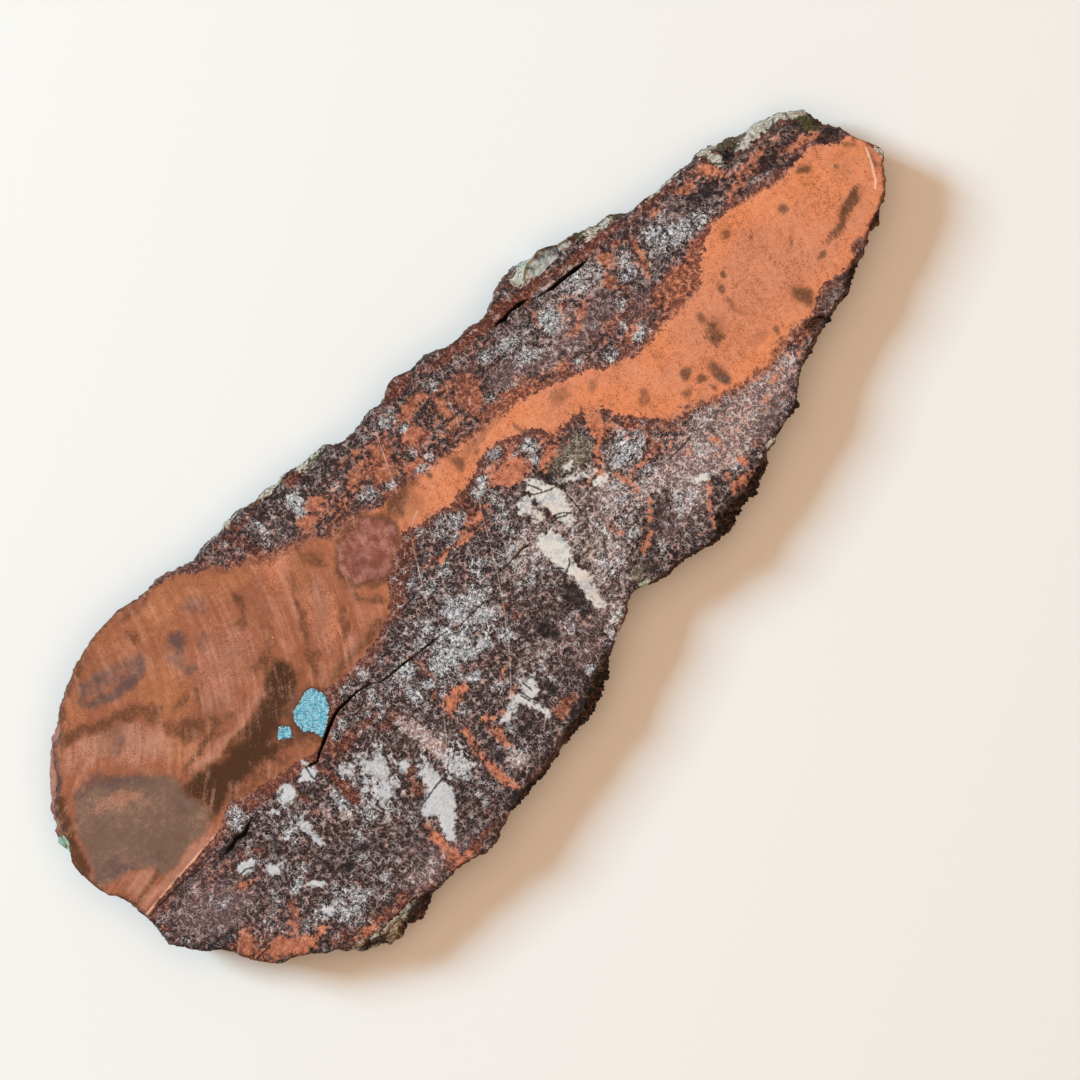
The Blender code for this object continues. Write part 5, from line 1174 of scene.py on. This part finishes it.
MALACHITE = srgb(96, 138, 108)
MALACHITE_PALE = srgb(170, 196, 170)
CRUST_WHITE = srgb(200, 190, 174)
CRUST_PINK = srgb(178, 120, 102)
CRUST_GREY = srgb(138, 126, 110)
GLASS_DARK = srgb(88, 82, 78)
GLASS_PALE = srgb(176, 176, 168)
MOSS = srgb(74, 70, 42)
BLACK_CRUST_AND_SHADE_TINT = srgb(20, 16, 14)
OLD_COPPER = srgb(136, 80, 58)
OLD_COPPER_DARK = srgb(72, 42, 34)
VERDIGRIS = srgb(92, 124, 104)
SAW_DUST = srgb(126, 108, 98)
# Painted highlight along the ridges of metal.
PAINTED_RIDGE_HIGHLIGHT = srgb(244, 196, 168)
METAL_GLINT = srgb(250, 226, 206)
# Painted shade for the inside of the open cracks.
PAINTED_CRACK_SHADE = srgb(18, 14, 13)

ROUGHNESS = {"rock": 0.75, "metal": 0.66, "cloudy": 0.8, "broken": 0.86}
SPECULAR = 0.2

# Stains of the metal, laid one over another: the field, how much the cloudy noise and the
# polishing strokes break its edge, where it starts and is full, its strength and its colour.
METAL_STAINS = [
    ("bright", 1.0, 0.4, 0.0, 1.0, 0.85, srgb(230, 141, 94)),
    ("blush", 0.8, 0.4, 0.0, 1.0, 0.8, srgb(214, 138, 104)),
    ("amber", 0.9, 0.3, 0.0, 0.7, 0.85, srgb(176, 113, 76)),
    ("rosy", 0.8, 1.2, 0.0, 0.9, 0.9, srgb(176, 120, 98)),
    ("ash", 1.2, 0.2, 0.0, 1.1, 0.6, srgb(172, 130, 110)),
    ("grey_flat", 1.0, 0.3, -0.9, 0.9, 0.95, TARNISH_GREY),
    ("bevel", 0.6, 0.4, -0.5, 0.5, 0.9, TARNISH_BEVEL),
    ("olive", 0.8, 0.3, 0.25, 1.0, 0.6, srgb(104, 72, 36)),
    ("brown", 1.3, 0.5, 0.02, 0.85, 0.88, srgb(100, 62, 40)),
    ("rosy", 0.8, 1.2, 0.3, 1.3, 0.65, srgb(178, 122, 100)),
    ("olive_band", 2.2, 0.35, -2.0, 0.9, 0.96, TARNISH_OLIVE),
    ("slate", 1.6, 0.0, 0.0, 1.0, 0.85, srgb(90, 72, 72)),
]

# Tints of the rock: the field, how ragged its edge is, how far large clouds spread it, where it
# starts and is full, and the colours that it gives the dark ground and the light lines.
ROCK_TINTS = [
    ("mauve", 1.6, 0.0, 0.1, 0.9, srgb(88, 66, 67), srgb(156, 130, 127)),
    ("olive", 1.4, 0.0, 0.3, 0.9, srgb(80, 69, 58), srgb(164, 154, 132)),
    ("rust", 2.6, 1.4, 0.25, 1.1, srgb(78, 38, 28), srgb(150, 88, 66)),
    ("haze", 2.6, 0.0, 0.3, 1.0, srgb(112, 64, 48), srgb(192, 120, 92)),
    ("powder", 1.6, 0.0, 0.05, 0.85, srgb(110, 90, 88), srgb(226, 200, 192)),
]


def copper_colour(g, n):
    """Polished metal: brushed copper, darker on the lobe (partly painted reflection), under layers of
    tarnish.
    """
    cloudy = (n["mid"] - 0.5) + n["fine_b"].spread(0.5)
    grainy = n["grain"].spread(1.8) + n["fine"].spread(1.4)
    brushed = n["strokes"] - 0.5
    colour = g.mix(g.field("band"), COPPER_LOBE, COPPER_BAND)
    for name, clouds, strokes, low, high, strength, tint in METAL_STAINS:
        share = g.field(name) + cloudy * clouds + brushed * strokes + grainy
        here = g.field(name).rise(low, low + 0.15)
        colour = g.mix(share.rise(low, high) * here * strength, colour, tint)
    inner = g.mix(n["mid"].rise(0.4, 0.65), CUPRITE_RED, CUPRITE_PINK)
    cuprite = g.field("cuprite") + cloudy * 2.0
    colour = g.mix(cuprite.rise(-0.6, 0.8) * 0.85, colour, inner)
    colour = g.mix(cuprite.math("ABSOLUTE").rise(1.1, 0.2) * 0.55, colour, TARNISH_OLIVE)
    halo = (g.field("blue") + cloudy).rise(-2.6, -0.2)
    colour = g.mix(halo * 0.55, colour, TARNISH_OLIVE)
    streaky = (g.field("grey_flat").rise(0.5, -1.0) * 0.8 + 0.2) * (n["large"].rise(0.3, 0.65) * 0.8 + 0.35)
    streaky = streaky * (g.field("band") * -0.5 + 1.0) * (g.field("slate").clamped() * -0.9 + 1.0)
    light = brushed * streaky + n["grain"].spread(0.6) + n["large"].spread(0.6) + n["fine_b"].spread(0.5)
    light = light + g.field("band") * (grainy * 0.5 + cloudy * 0.5)
    colour = g.mix(light.clamped(), colour, COPPER_PALE)
    colour = g.mix((light * -1.2).clamped(), colour, COPPER_SHADE)
    rungs = g.noise(1.0, 1.0, place=g.mapped(g.here, scale=(4.0, 0.6, 1)))
    marks = (g.field("ladder") + rungs.spread(2.4) + cloudy).rise(0.45, 0.85)
    colour = g.mix(marks * g.field("ladder").rise(0.1, 0.4) * 0.6, colour, TARNISH_OLIVE)
    dots = n["fine"].spread(4.6) + n["large"].spread(2.0) + g.field("band") * 0.2 + g.field("brown") * 0.3
    pits = n["grain"].spread(3.6) + n["mid"].spread(1.0) + g.field("band") * 0.2
    spots = ((dots - 1.4).rise(-0.1, 0.3) * 0.5).math("MAXIMUM", (pits - 0.7).rise(-0.1, 0.4) * 0.4)
    return g.mix(spots, colour, COPPER_SHADE)


def rock_colour(g, n):
    """The rock between the metal: dark ground, webbed with light lines and white crystals."""
    ragged = (n["fine_b"] - 0.5) + n["mid"].spread(0.8)
    dark = g.mix(n["fine"].rise(0.4, 0.62), ROCK_BLACK, ROCK_MAROON)
    light = g.mix(n["fine_b"].rise(0.4, 0.62), ROCK_BROWN, ROCK_PALE)
    for name, raggedness, clouds, low, high, tint_dark, tint_light in ROCK_TINTS:
        share = (g.field(name) + ragged * raggedness + (n["large"] - 0.5) * clouds).rise(low, high)
        dark = g.mix(share * 0.9, dark, tint_dark)
        light = g.mix(share * 0.9, light, tint_light)
    beside = (g.field("metal") + ragged * 3.0 + n["large"].spread(4.0)).rise(-3.4, -0.6)
    dark = g.mix(beside * 0.65, dark, ROCK_RUST_DARK)
    light = g.mix(beside * 0.6, light, ROCK_RUST)
    clusters = (n["cluster"] - 0.5) * (g.field("calm").clamped() * -1.0 + 1.8)
    share = g.field("white") * 0.8 + clusters + n["mid"].spread(0.8) - g.field("haze") * 0.3 - 0.02
    share = share - beside * 0.12
    white = (share + n["grain"].spread(1.0)).rise(0.1, 0.8)
    light = g.mix(white, light, g.mix(n["fine"].rise(0.35, 0.6), CRYSTAL_GREY, CRYSTAL_WHITE))
    width = share.clamped() * 0.045 + n["fine_b"].spread(0.14) + 0.03
    thick = g.web(1.9, width, 3.0)
    thin = g.web(1.15, width, 17.0)
    lines = thick.math("MAXIMUM", thin * 0.8)
    lines = lines * (n["fine"].rise(0.36, 0.6) * 0.65 + 0.35)
    lines = lines.math("MAXIMUM", (n["grain"] + share * 0.12).rise(0.6, 0.73) * 0.7)
    colour = g.mix(lines, dark, light)
    colour = g.mix((share + ragged * 0.9).rise(0.4, 1.1) * 0.45, colour, CRYSTAL_GREY)
    colour = g.mix(g.web(1.4, 0.03, 29.0) * white * 0.9, colour, ROCK_BLACK)
    # Dark patches of the rock, and painted shade along its lower edge.
    dark_rock_and_shade = g.field("dark").math("MINIMUM", 1.1) + n["fine"].spread(2.2) + n["mid"].spread(2.0)
    return g.mix(dark_rock_and_shade.rise(0.3, 1.15) * 0.85, colour, ROCK_BLACK), thin


def rind_colour(g, n, rock, web):
    """The rough natural edge: the rock under dirt and rust, old copper, crusts and glassy quartz, and
    black crust with painted shade where the edge and its clefts lie in shadow.
    """
    ragged = n["fine"].spread(1.6) + n["fine_b"].spread(1.4)
    colour = g.mix(n["fine"].rise(0.38, 0.62), RIND_DARK, RIND_BROWN)
    colour = g.mix((n["mid"] + n["fine_b"] * 0.5).rise(0.6, 0.95) * 0.6, colour, RIND_RUST)
    colour = g.mix((n["mid"] + n["large"].spread(1.4)).rise(0.35, 0.7) * 0.7, colour, rock)
    colour = g.mix(web * 0.25, colour, ROCK_PALE)
    metal = (g.field("metal") + n["mid"].spread(4.0)).rise(0.0, 1.6)
    old = g.mix((n["fine_b"] + n["large"].spread(0.8)).rise(0.42, 0.62), OLD_COPPER, OLD_COPPER_DARK)
    old = g.mix((n["mid"] + n["fine"] * 0.4).rise(0.78, 0.9) * 0.8, old, VERDIGRIS)
    colour = g.mix(metal * 0.85, colour, old)
    rosy = g.field("rind_rosy") + ragged * 0.5
    pinkish = g.mix((n["fine"] * 0.6 + n["fine_b"] * 0.4).rise(0.42, 0.6) * 0.7, CRUST_PINK, OLD_COPPER)
    colour = g.mix((rosy - n["grain"] * 0.3).rise(0.1, 0.9) * 0.8, colour, pinkish)
    smoky = g.mix((n["mid"] + n["fine_b"] * 0.4).rise(0.5, 0.85), GLASS_DARK, GLASS_PALE)
    crusty = g.mix(n["fine"].rise(0.4, 0.6), CRUST_GREY, CRUST_WHITE)
    # Black crust mixed with painted shade.
    black_crust_and_shade = g.mix((n["fine_b"] * 0.7 + n["grain"] * 0.3).rise(0.5, 0.62), BLACK_CRUST_AND_SHADE_TINT, RIND_BROWN)
    black_crust_and_shade = g.mix((n["fine"] * 0.6 + n["grain"] * 0.4).rise(0.6, 0.68) * 0.7, black_crust_and_shade, CRUST_GREY)
    # The field, how ragged its edge is, where it starts and is full, its strength and its colour.
    layers = (
        ("rind_glass", 0.4, 0.4, 0.8, 1.0, smoky),
        ("rind_green", 1.1, 0.4, 0.9, 0.9, g.mix(n["fine_b"], MALACHITE, MALACHITE_PALE)),
        ("rind_moss", 1.0, 0.4, 0.9, 0.9, MOSS),
        ("rind_crust", 1.2, 0.35, 0.8, 0.95, crusty),
        # Black crust, partly painted shade along the shaded edge.
        ("rind_black_and_shade", 1.1, 0.3, 0.8, 0.95, black_crust_and_shade),
    )
    for name, raggedness, low, high, strength, tint in layers:
        share = g.field(name) + ragged * raggedness
        colour = g.mix(share.rise(low, high) * strength, colour, tint)
    # Painted shade in the clefts between the lumps of crust.
    return g.mix((g.field("crevice_shade") + ragged * 0.4).rise(0.5, 1.0) * 0.85, colour, BLACK_CRUST_AND_SHADE_TINT)


def mineral_colour(g, n, colour, web, broken):
    """Quartz, feldspar and the blue silicate over the rock and the metal."""
    quartz_edge = g.field("quartz") + n["fine"].spread(1.6) + n["fine_b"].spread(1.6)
    lace = g.field("lace")
    wisps = lace * 0.9 + broken * 1.5 + n["cluster"].spread(2.0) - 0.8
    wisps = wisps.rise(0.0, 0.6) * lace.rise(0.1, 0.5) * (web * -0.7 + 0.95)
    frayed = lace.clamped()
    solid = (quartz_edge + broken * frayed * 0.6).rise(frayed * -0.4 - 0.45, frayed * 0.9 + 0.35)
    quartz = (solid * (web * frayed * -0.5 + 1.0)).math("MAXIMUM", wisps)
    white = g.mix((n["mid"] * 0.5 + n["fine"] * 0.5).rise(0.36, 0.56), QUARTZ_GREY, QUARTZ_WHITE)
    white = g.mix(n["large"].rise(0.42, 0.66) * g.field("band") * 0.5, white, CRYSTAL_CREAM)
    white = g.mix(g.field("band").inverse() * (n["cluster"] * 1.2).clamped(), white, QUARTZ_LAVENDER)
    colour = g.mix(quartz * 0.95, colour, white)
    feldspar = (g.field("feldspar") + broken).rise(-0.5, 0.9)
    glassy = (n["grain"] * 0.4 + n["fine_b"] * 0.6).rise(0.5, 0.62)
    colour = g.mix(feldspar * 0.7, colour, g.mix(n["fine"].rise(0.36, 0.6), FELDSPAR_DARK, CRYSTAL_PINK))
    colour = g.mix(feldspar * glassy * 0.7, colour, CRYSTAL_WHITE)
    colour = g.mix(feldspar * web * 0.4, colour, ROCK_MAROON)
    blue_edge = g.field("blue") + n["fine"].spread(0.9) + n["grain"].spread(0.6)
    colour = g.mix(blue_edge.rise(-0.8, -0.4) * 0.75, colour, ROCK_MAROON)
    blue = blue_edge.rise(-0.45, -0.05)
    silicate = g.mix(n["fine"].rise(0.35, 0.65), SILICATE_BLUE, SILICATE_PALE)
    silicate = g.mix(n["fine_b"].rise(0.56, 0.7) * 0.7, silicate, SILICATE_TEAL)
    silicate = g.mix(n["grain"].rise(0.6, 0.7) * 0.6, silicate, CRYSTAL_WHITE)
    return g.mix(blue, colour, silicate), quartz.math("MAXIMUM", blue)


def line_colour(g, n, colour, metal):
    """Hairlines, scratches, painted ridge highlights and glints, and painted shade in the open cracks."""
    # The field, the noise that frays it and how much, where it ends and is full, its strength, its
    # colour and what it shows on.
    lines = (
        ("hairline", "fine", 0.3, 0.3, 0.12, 0.85, ROCK_BLACK, None),
        ("scratch", "fine", 0.2, 0.2, 0.05, 0.6, CRYSTAL_CREAM, n["mid"].rise(0.3, 0.6)),
        # A painted highlight along the raised ridges of metal.
        ("ridge", "fine", 0.4, 0.4, 0.12, 0.75, PAINTED_RIDGE_HIGHLIGHT, metal),
        # Painted glints of light on the metal.
        ("painted_glint", "grain", 0.5, 0.3, 0.08, 0.7, METAL_GLINT, None),
        # Painted shade inside the open cracks, which are also cut into the face.
        ("crack", "grain", 0.12, -0.12, 0.06, 0.94, PAINTED_CRACK_SHADE, None),
    )
    for name, frayed_by, fray, end, full, strength, tint, shown_on in lines:
        line = (g.field(name) + n[frayed_by].spread(fray)).rise(end, full)
        if shown_on:
            line = line * shown_on
        colour = g.mix(line * strength, colour, tint)
    return colour, line


def lay_finish(g, n, metal, small, covered, outside, sawn):
    """How each material shines, and the fine bumps of the polished face and of the broken rind."""
    on_face = outside.inverse()
    shine = (metal * 0.2).math("MAXIMUM", small * 0.15) * covered.inverse() * on_face
    g.feed(g.shader.inputs["Metallic"], shine)
    grey = {name: (value,) * 3 for name, value in ROUGHNESS.items()}
    rough = g.mix(metal, grey["rock"], grey["metal"])
    rough = g.mix(n["mid"].rise(0.3, 0.8) * (metal * -0.25 + 0.4), rough, grey["cloudy"])
    rough = g.mix(outside.math("MAXIMUM", sawn * 0.6), rough, grey["broken"])
    g.feed(g.shader.inputs["Roughness"], rough)
    g.shader.inputs["Specular IOR Level"].default_value = SPECULAR
    polished = g.bump(g.noise(0.5, 1.0), 0.12, (metal.inverse() * 0.8 + 0.15) * on_face)
    normal = g.bump(g.noise(1.1, 2.0, 0.6), 0.7, outside * 0.8, under=polished)
    g.feed(g.shader.inputs["Normal"], normal)


def slab_material():
    material = bpy.data.materials.new(SLOT)
    g = Graph(material)
    n = {
        "large": g.noise(9.0, 2.0),
        "mid": g.noise(2.8, 3.0, shift=5.0),
        "cluster": g.noise(2.4, 2.0, shift=9.0),
        "fine": g.noise(0.85, 3.0, 0.6, shift=2.0),
        "fine_b": g.noise(1.4, 3.0, 0.62, shift=13.0),
        "grain": g.noise(0.34, 1.0, shift=7.0),
        "strokes": g.noise(1.0, 4.0, 0.62, place=g.strokes),
    }
    rock, web = rock_colour(g, n)
    broken = n["fine"].spread(2.6) + n["fine_b"].spread(1.8)
    flecks = g.field("flecks")
    flecks = (flecks * 1.5 + broken * 2.0 - 1.2).rise(0.0, 0.3) * flecks.rise(0.05, 0.3)
    small = (g.field("patch") + broken * 1.2).rise(-0.4, 0.6).math("MAXIMUM", flecks) * (web * -0.6 + 1.0)
    small = small * (g.field("calm").clamped() * -0.35 + 0.92) * (n["mid"].rise(0.3, 0.55) * 0.3 + 0.72)
    fleck = g.mix((n["fine_b"] * 0.6 + n["grain"] * 0.4).rise(0.38, 0.58), COPPER_FLECK_DEEP, COPPER_FLECK)
    colour = g.mix(small, rock, fleck)
    torn = n["fine_b"].spread(1.6) + n["mid"].spread(1.4) + n["fine"].spread(1.8) + n["grain"].spread(1.0)
    soft = g.field("soft_edge").clamped()
    metal = g.field("metal") + torn * (g.field("band") * 0.8 + 0.35 + soft)
    metal = metal.rise(soft * -2.2 - 0.25, soft * 1.4 + 0.3)
    colour = g.mix(metal, colour, copper_colour(g, n))
    colour, crystals = mineral_colour(g, n, colour, web, broken)
    colour, crack = line_colour(g, n, colour, metal)
    sawn = g.field("sawn")
    colour = g.mix(sawn * 0.4, colour, SAW_DUST)
    unpolished = g.field("rind_crust").clamped() * 1.7 + g.field("rind_glass").clamped() * 6.0
    unpolished = unpolished + g.field("rind_moss").clamped() * 0.9
    outside = (g.field("flat_in") + n["fine"].spread(0.7) - unpolished).rise(0.04, -0.1)
    colour = g.mix(outside, colour, rind_colour(g, n, rock, web))
    # The polished face turns darker within about a millimetre of its rim.
    rim_darkening = (g.field("flat_in") + n["fine_b"].spread(2.4)).rise(0.9, 0.0) * outside.inverse()
    colour = g.mix(rim_darkening * 0.5, colour, RIND_DARK)
    g.feed(g.shader.inputs["Base Color"], colour)
    covered = crystals.math("MAXIMUM", crack).math("MAXIMUM", sawn * 0.7)
    lay_finish(g, n, metal, small, covered, outside, sawn)
    return material


# ---------------------------------------------------------------- floor, light and camera

VIEW_CENTRE = np.array((5.50, -7.13)) + CENTRING
VIEW_WIDTH = 240
VIEW_HEIGHT = 820
VIEW_TURN = -45
SENSOR = 36
FLOOR_HALF = 3
FLOOR_DROP = 0.02
FLOOR_PALE = srgb(236, 236, 234)
FLOOR_ROUGHNESS = 0.9
DAYLIGHT = (0.55, 0.83, 1.0)
WARM_LIGHT = (1.0, 0.68, 0.46)
WARM_AIR = (1.0, 0.71, 0.50, 1.0)
AIR_STRENGTH = 0.26
# Edges of the slab that turn by more degrees than this stay sharp.
CREASE = 50


def make_floor():
    mesh = bpy.data.meshes.new("floor")
    corners = [(x * FLOOR_HALF, y * FLOOR_HALF, 0) for x, y in ((-1, -1), (1, -1), (1, 1), (-1, 1))]
    mesh.from_pydata(corners, [], [(0, 1, 2, 3)])
    floor = bpy.data.objects.new("floor", mesh)
    floor.location.z = -FLOOR_DROP * MM
    bpy.context.scene.collection.objects.link(floor)
    material = bpy.data.materials.new("pale_board")
    g = Graph(material)
    g.feed(g.shader.inputs["Base Color"], FLOOR_PALE)
    g.shader.inputs["Roughness"].default_value = FLOOR_ROUGHNESS
    mesh.materials.append(material)


def area_light(name, place, aim, size, energy, colour):
    data = bpy.data.lights.new(name, "AREA")
    data.size, data.energy, data.color = size, energy, colour
    light = bpy.data.objects.new(name, data)
    light.location = place
    light.rotation_euler = (Vector(aim) - Vector(place)).to_track_quat("-Z", "Y").to_euler()
    bpy.context.scene.collection.objects.link(light)


def make_light():
    area_light("window", (-0.93, 1.95, 1.29), (0, 0, 0), size=0.82, energy=82, colour=DAYLIGHT)
    area_light("ceiling", (0.1, -0.1, 1.9), (0, 0, 0), size=2.6, energy=27, colour=WARM_LIGHT)
    world = bpy.data.worlds.new("studio")
    bpy.context.scene.world = world
    world.use_nodes = True
    background = world.node_tree.nodes["Background"]
    background.inputs["Color"].default_value = WARM_AIR
    background.inputs["Strength"].default_value = AIR_STRENGTH
    bpy.context.scene.view_settings.view_transform = "Standard"


def make_camera():
    data = bpy.data.cameras.new("camera")
    data.sensor_width = SENSOR
    data.lens = SENSOR * VIEW_HEIGHT / VIEW_WIDTH
    camera = bpy.data.objects.new("camera", data)
    x, y = VIEW_CENTRE * MM
    camera.location = (x, y, (VIEW_HEIGHT + THICKNESS) * MM)
    camera.rotation_euler = (0, 0, math.radians(VIEW_TURN))
    bpy.context.scene.collection.objects.link(camera)
    bpy.context.scene.camera = camera


def main():
    noise.seed_set(NOISE_SEED)
    mesh, trees = build_slab()
    lay_fields(mesh, trees)
    mesh.materials.append(slab_material())
    mesh.shade_smooth()
    mesh.set_sharp_from_angle(angle=math.radians(CREASE))
    slab = bpy.data.objects.new("slab", mesh)
    bpy.context.scene.collection.objects.link(slab)
    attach(slab, "root")
    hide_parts(NODE)
    make_floor()
    make_light()
    make_camera()


main()
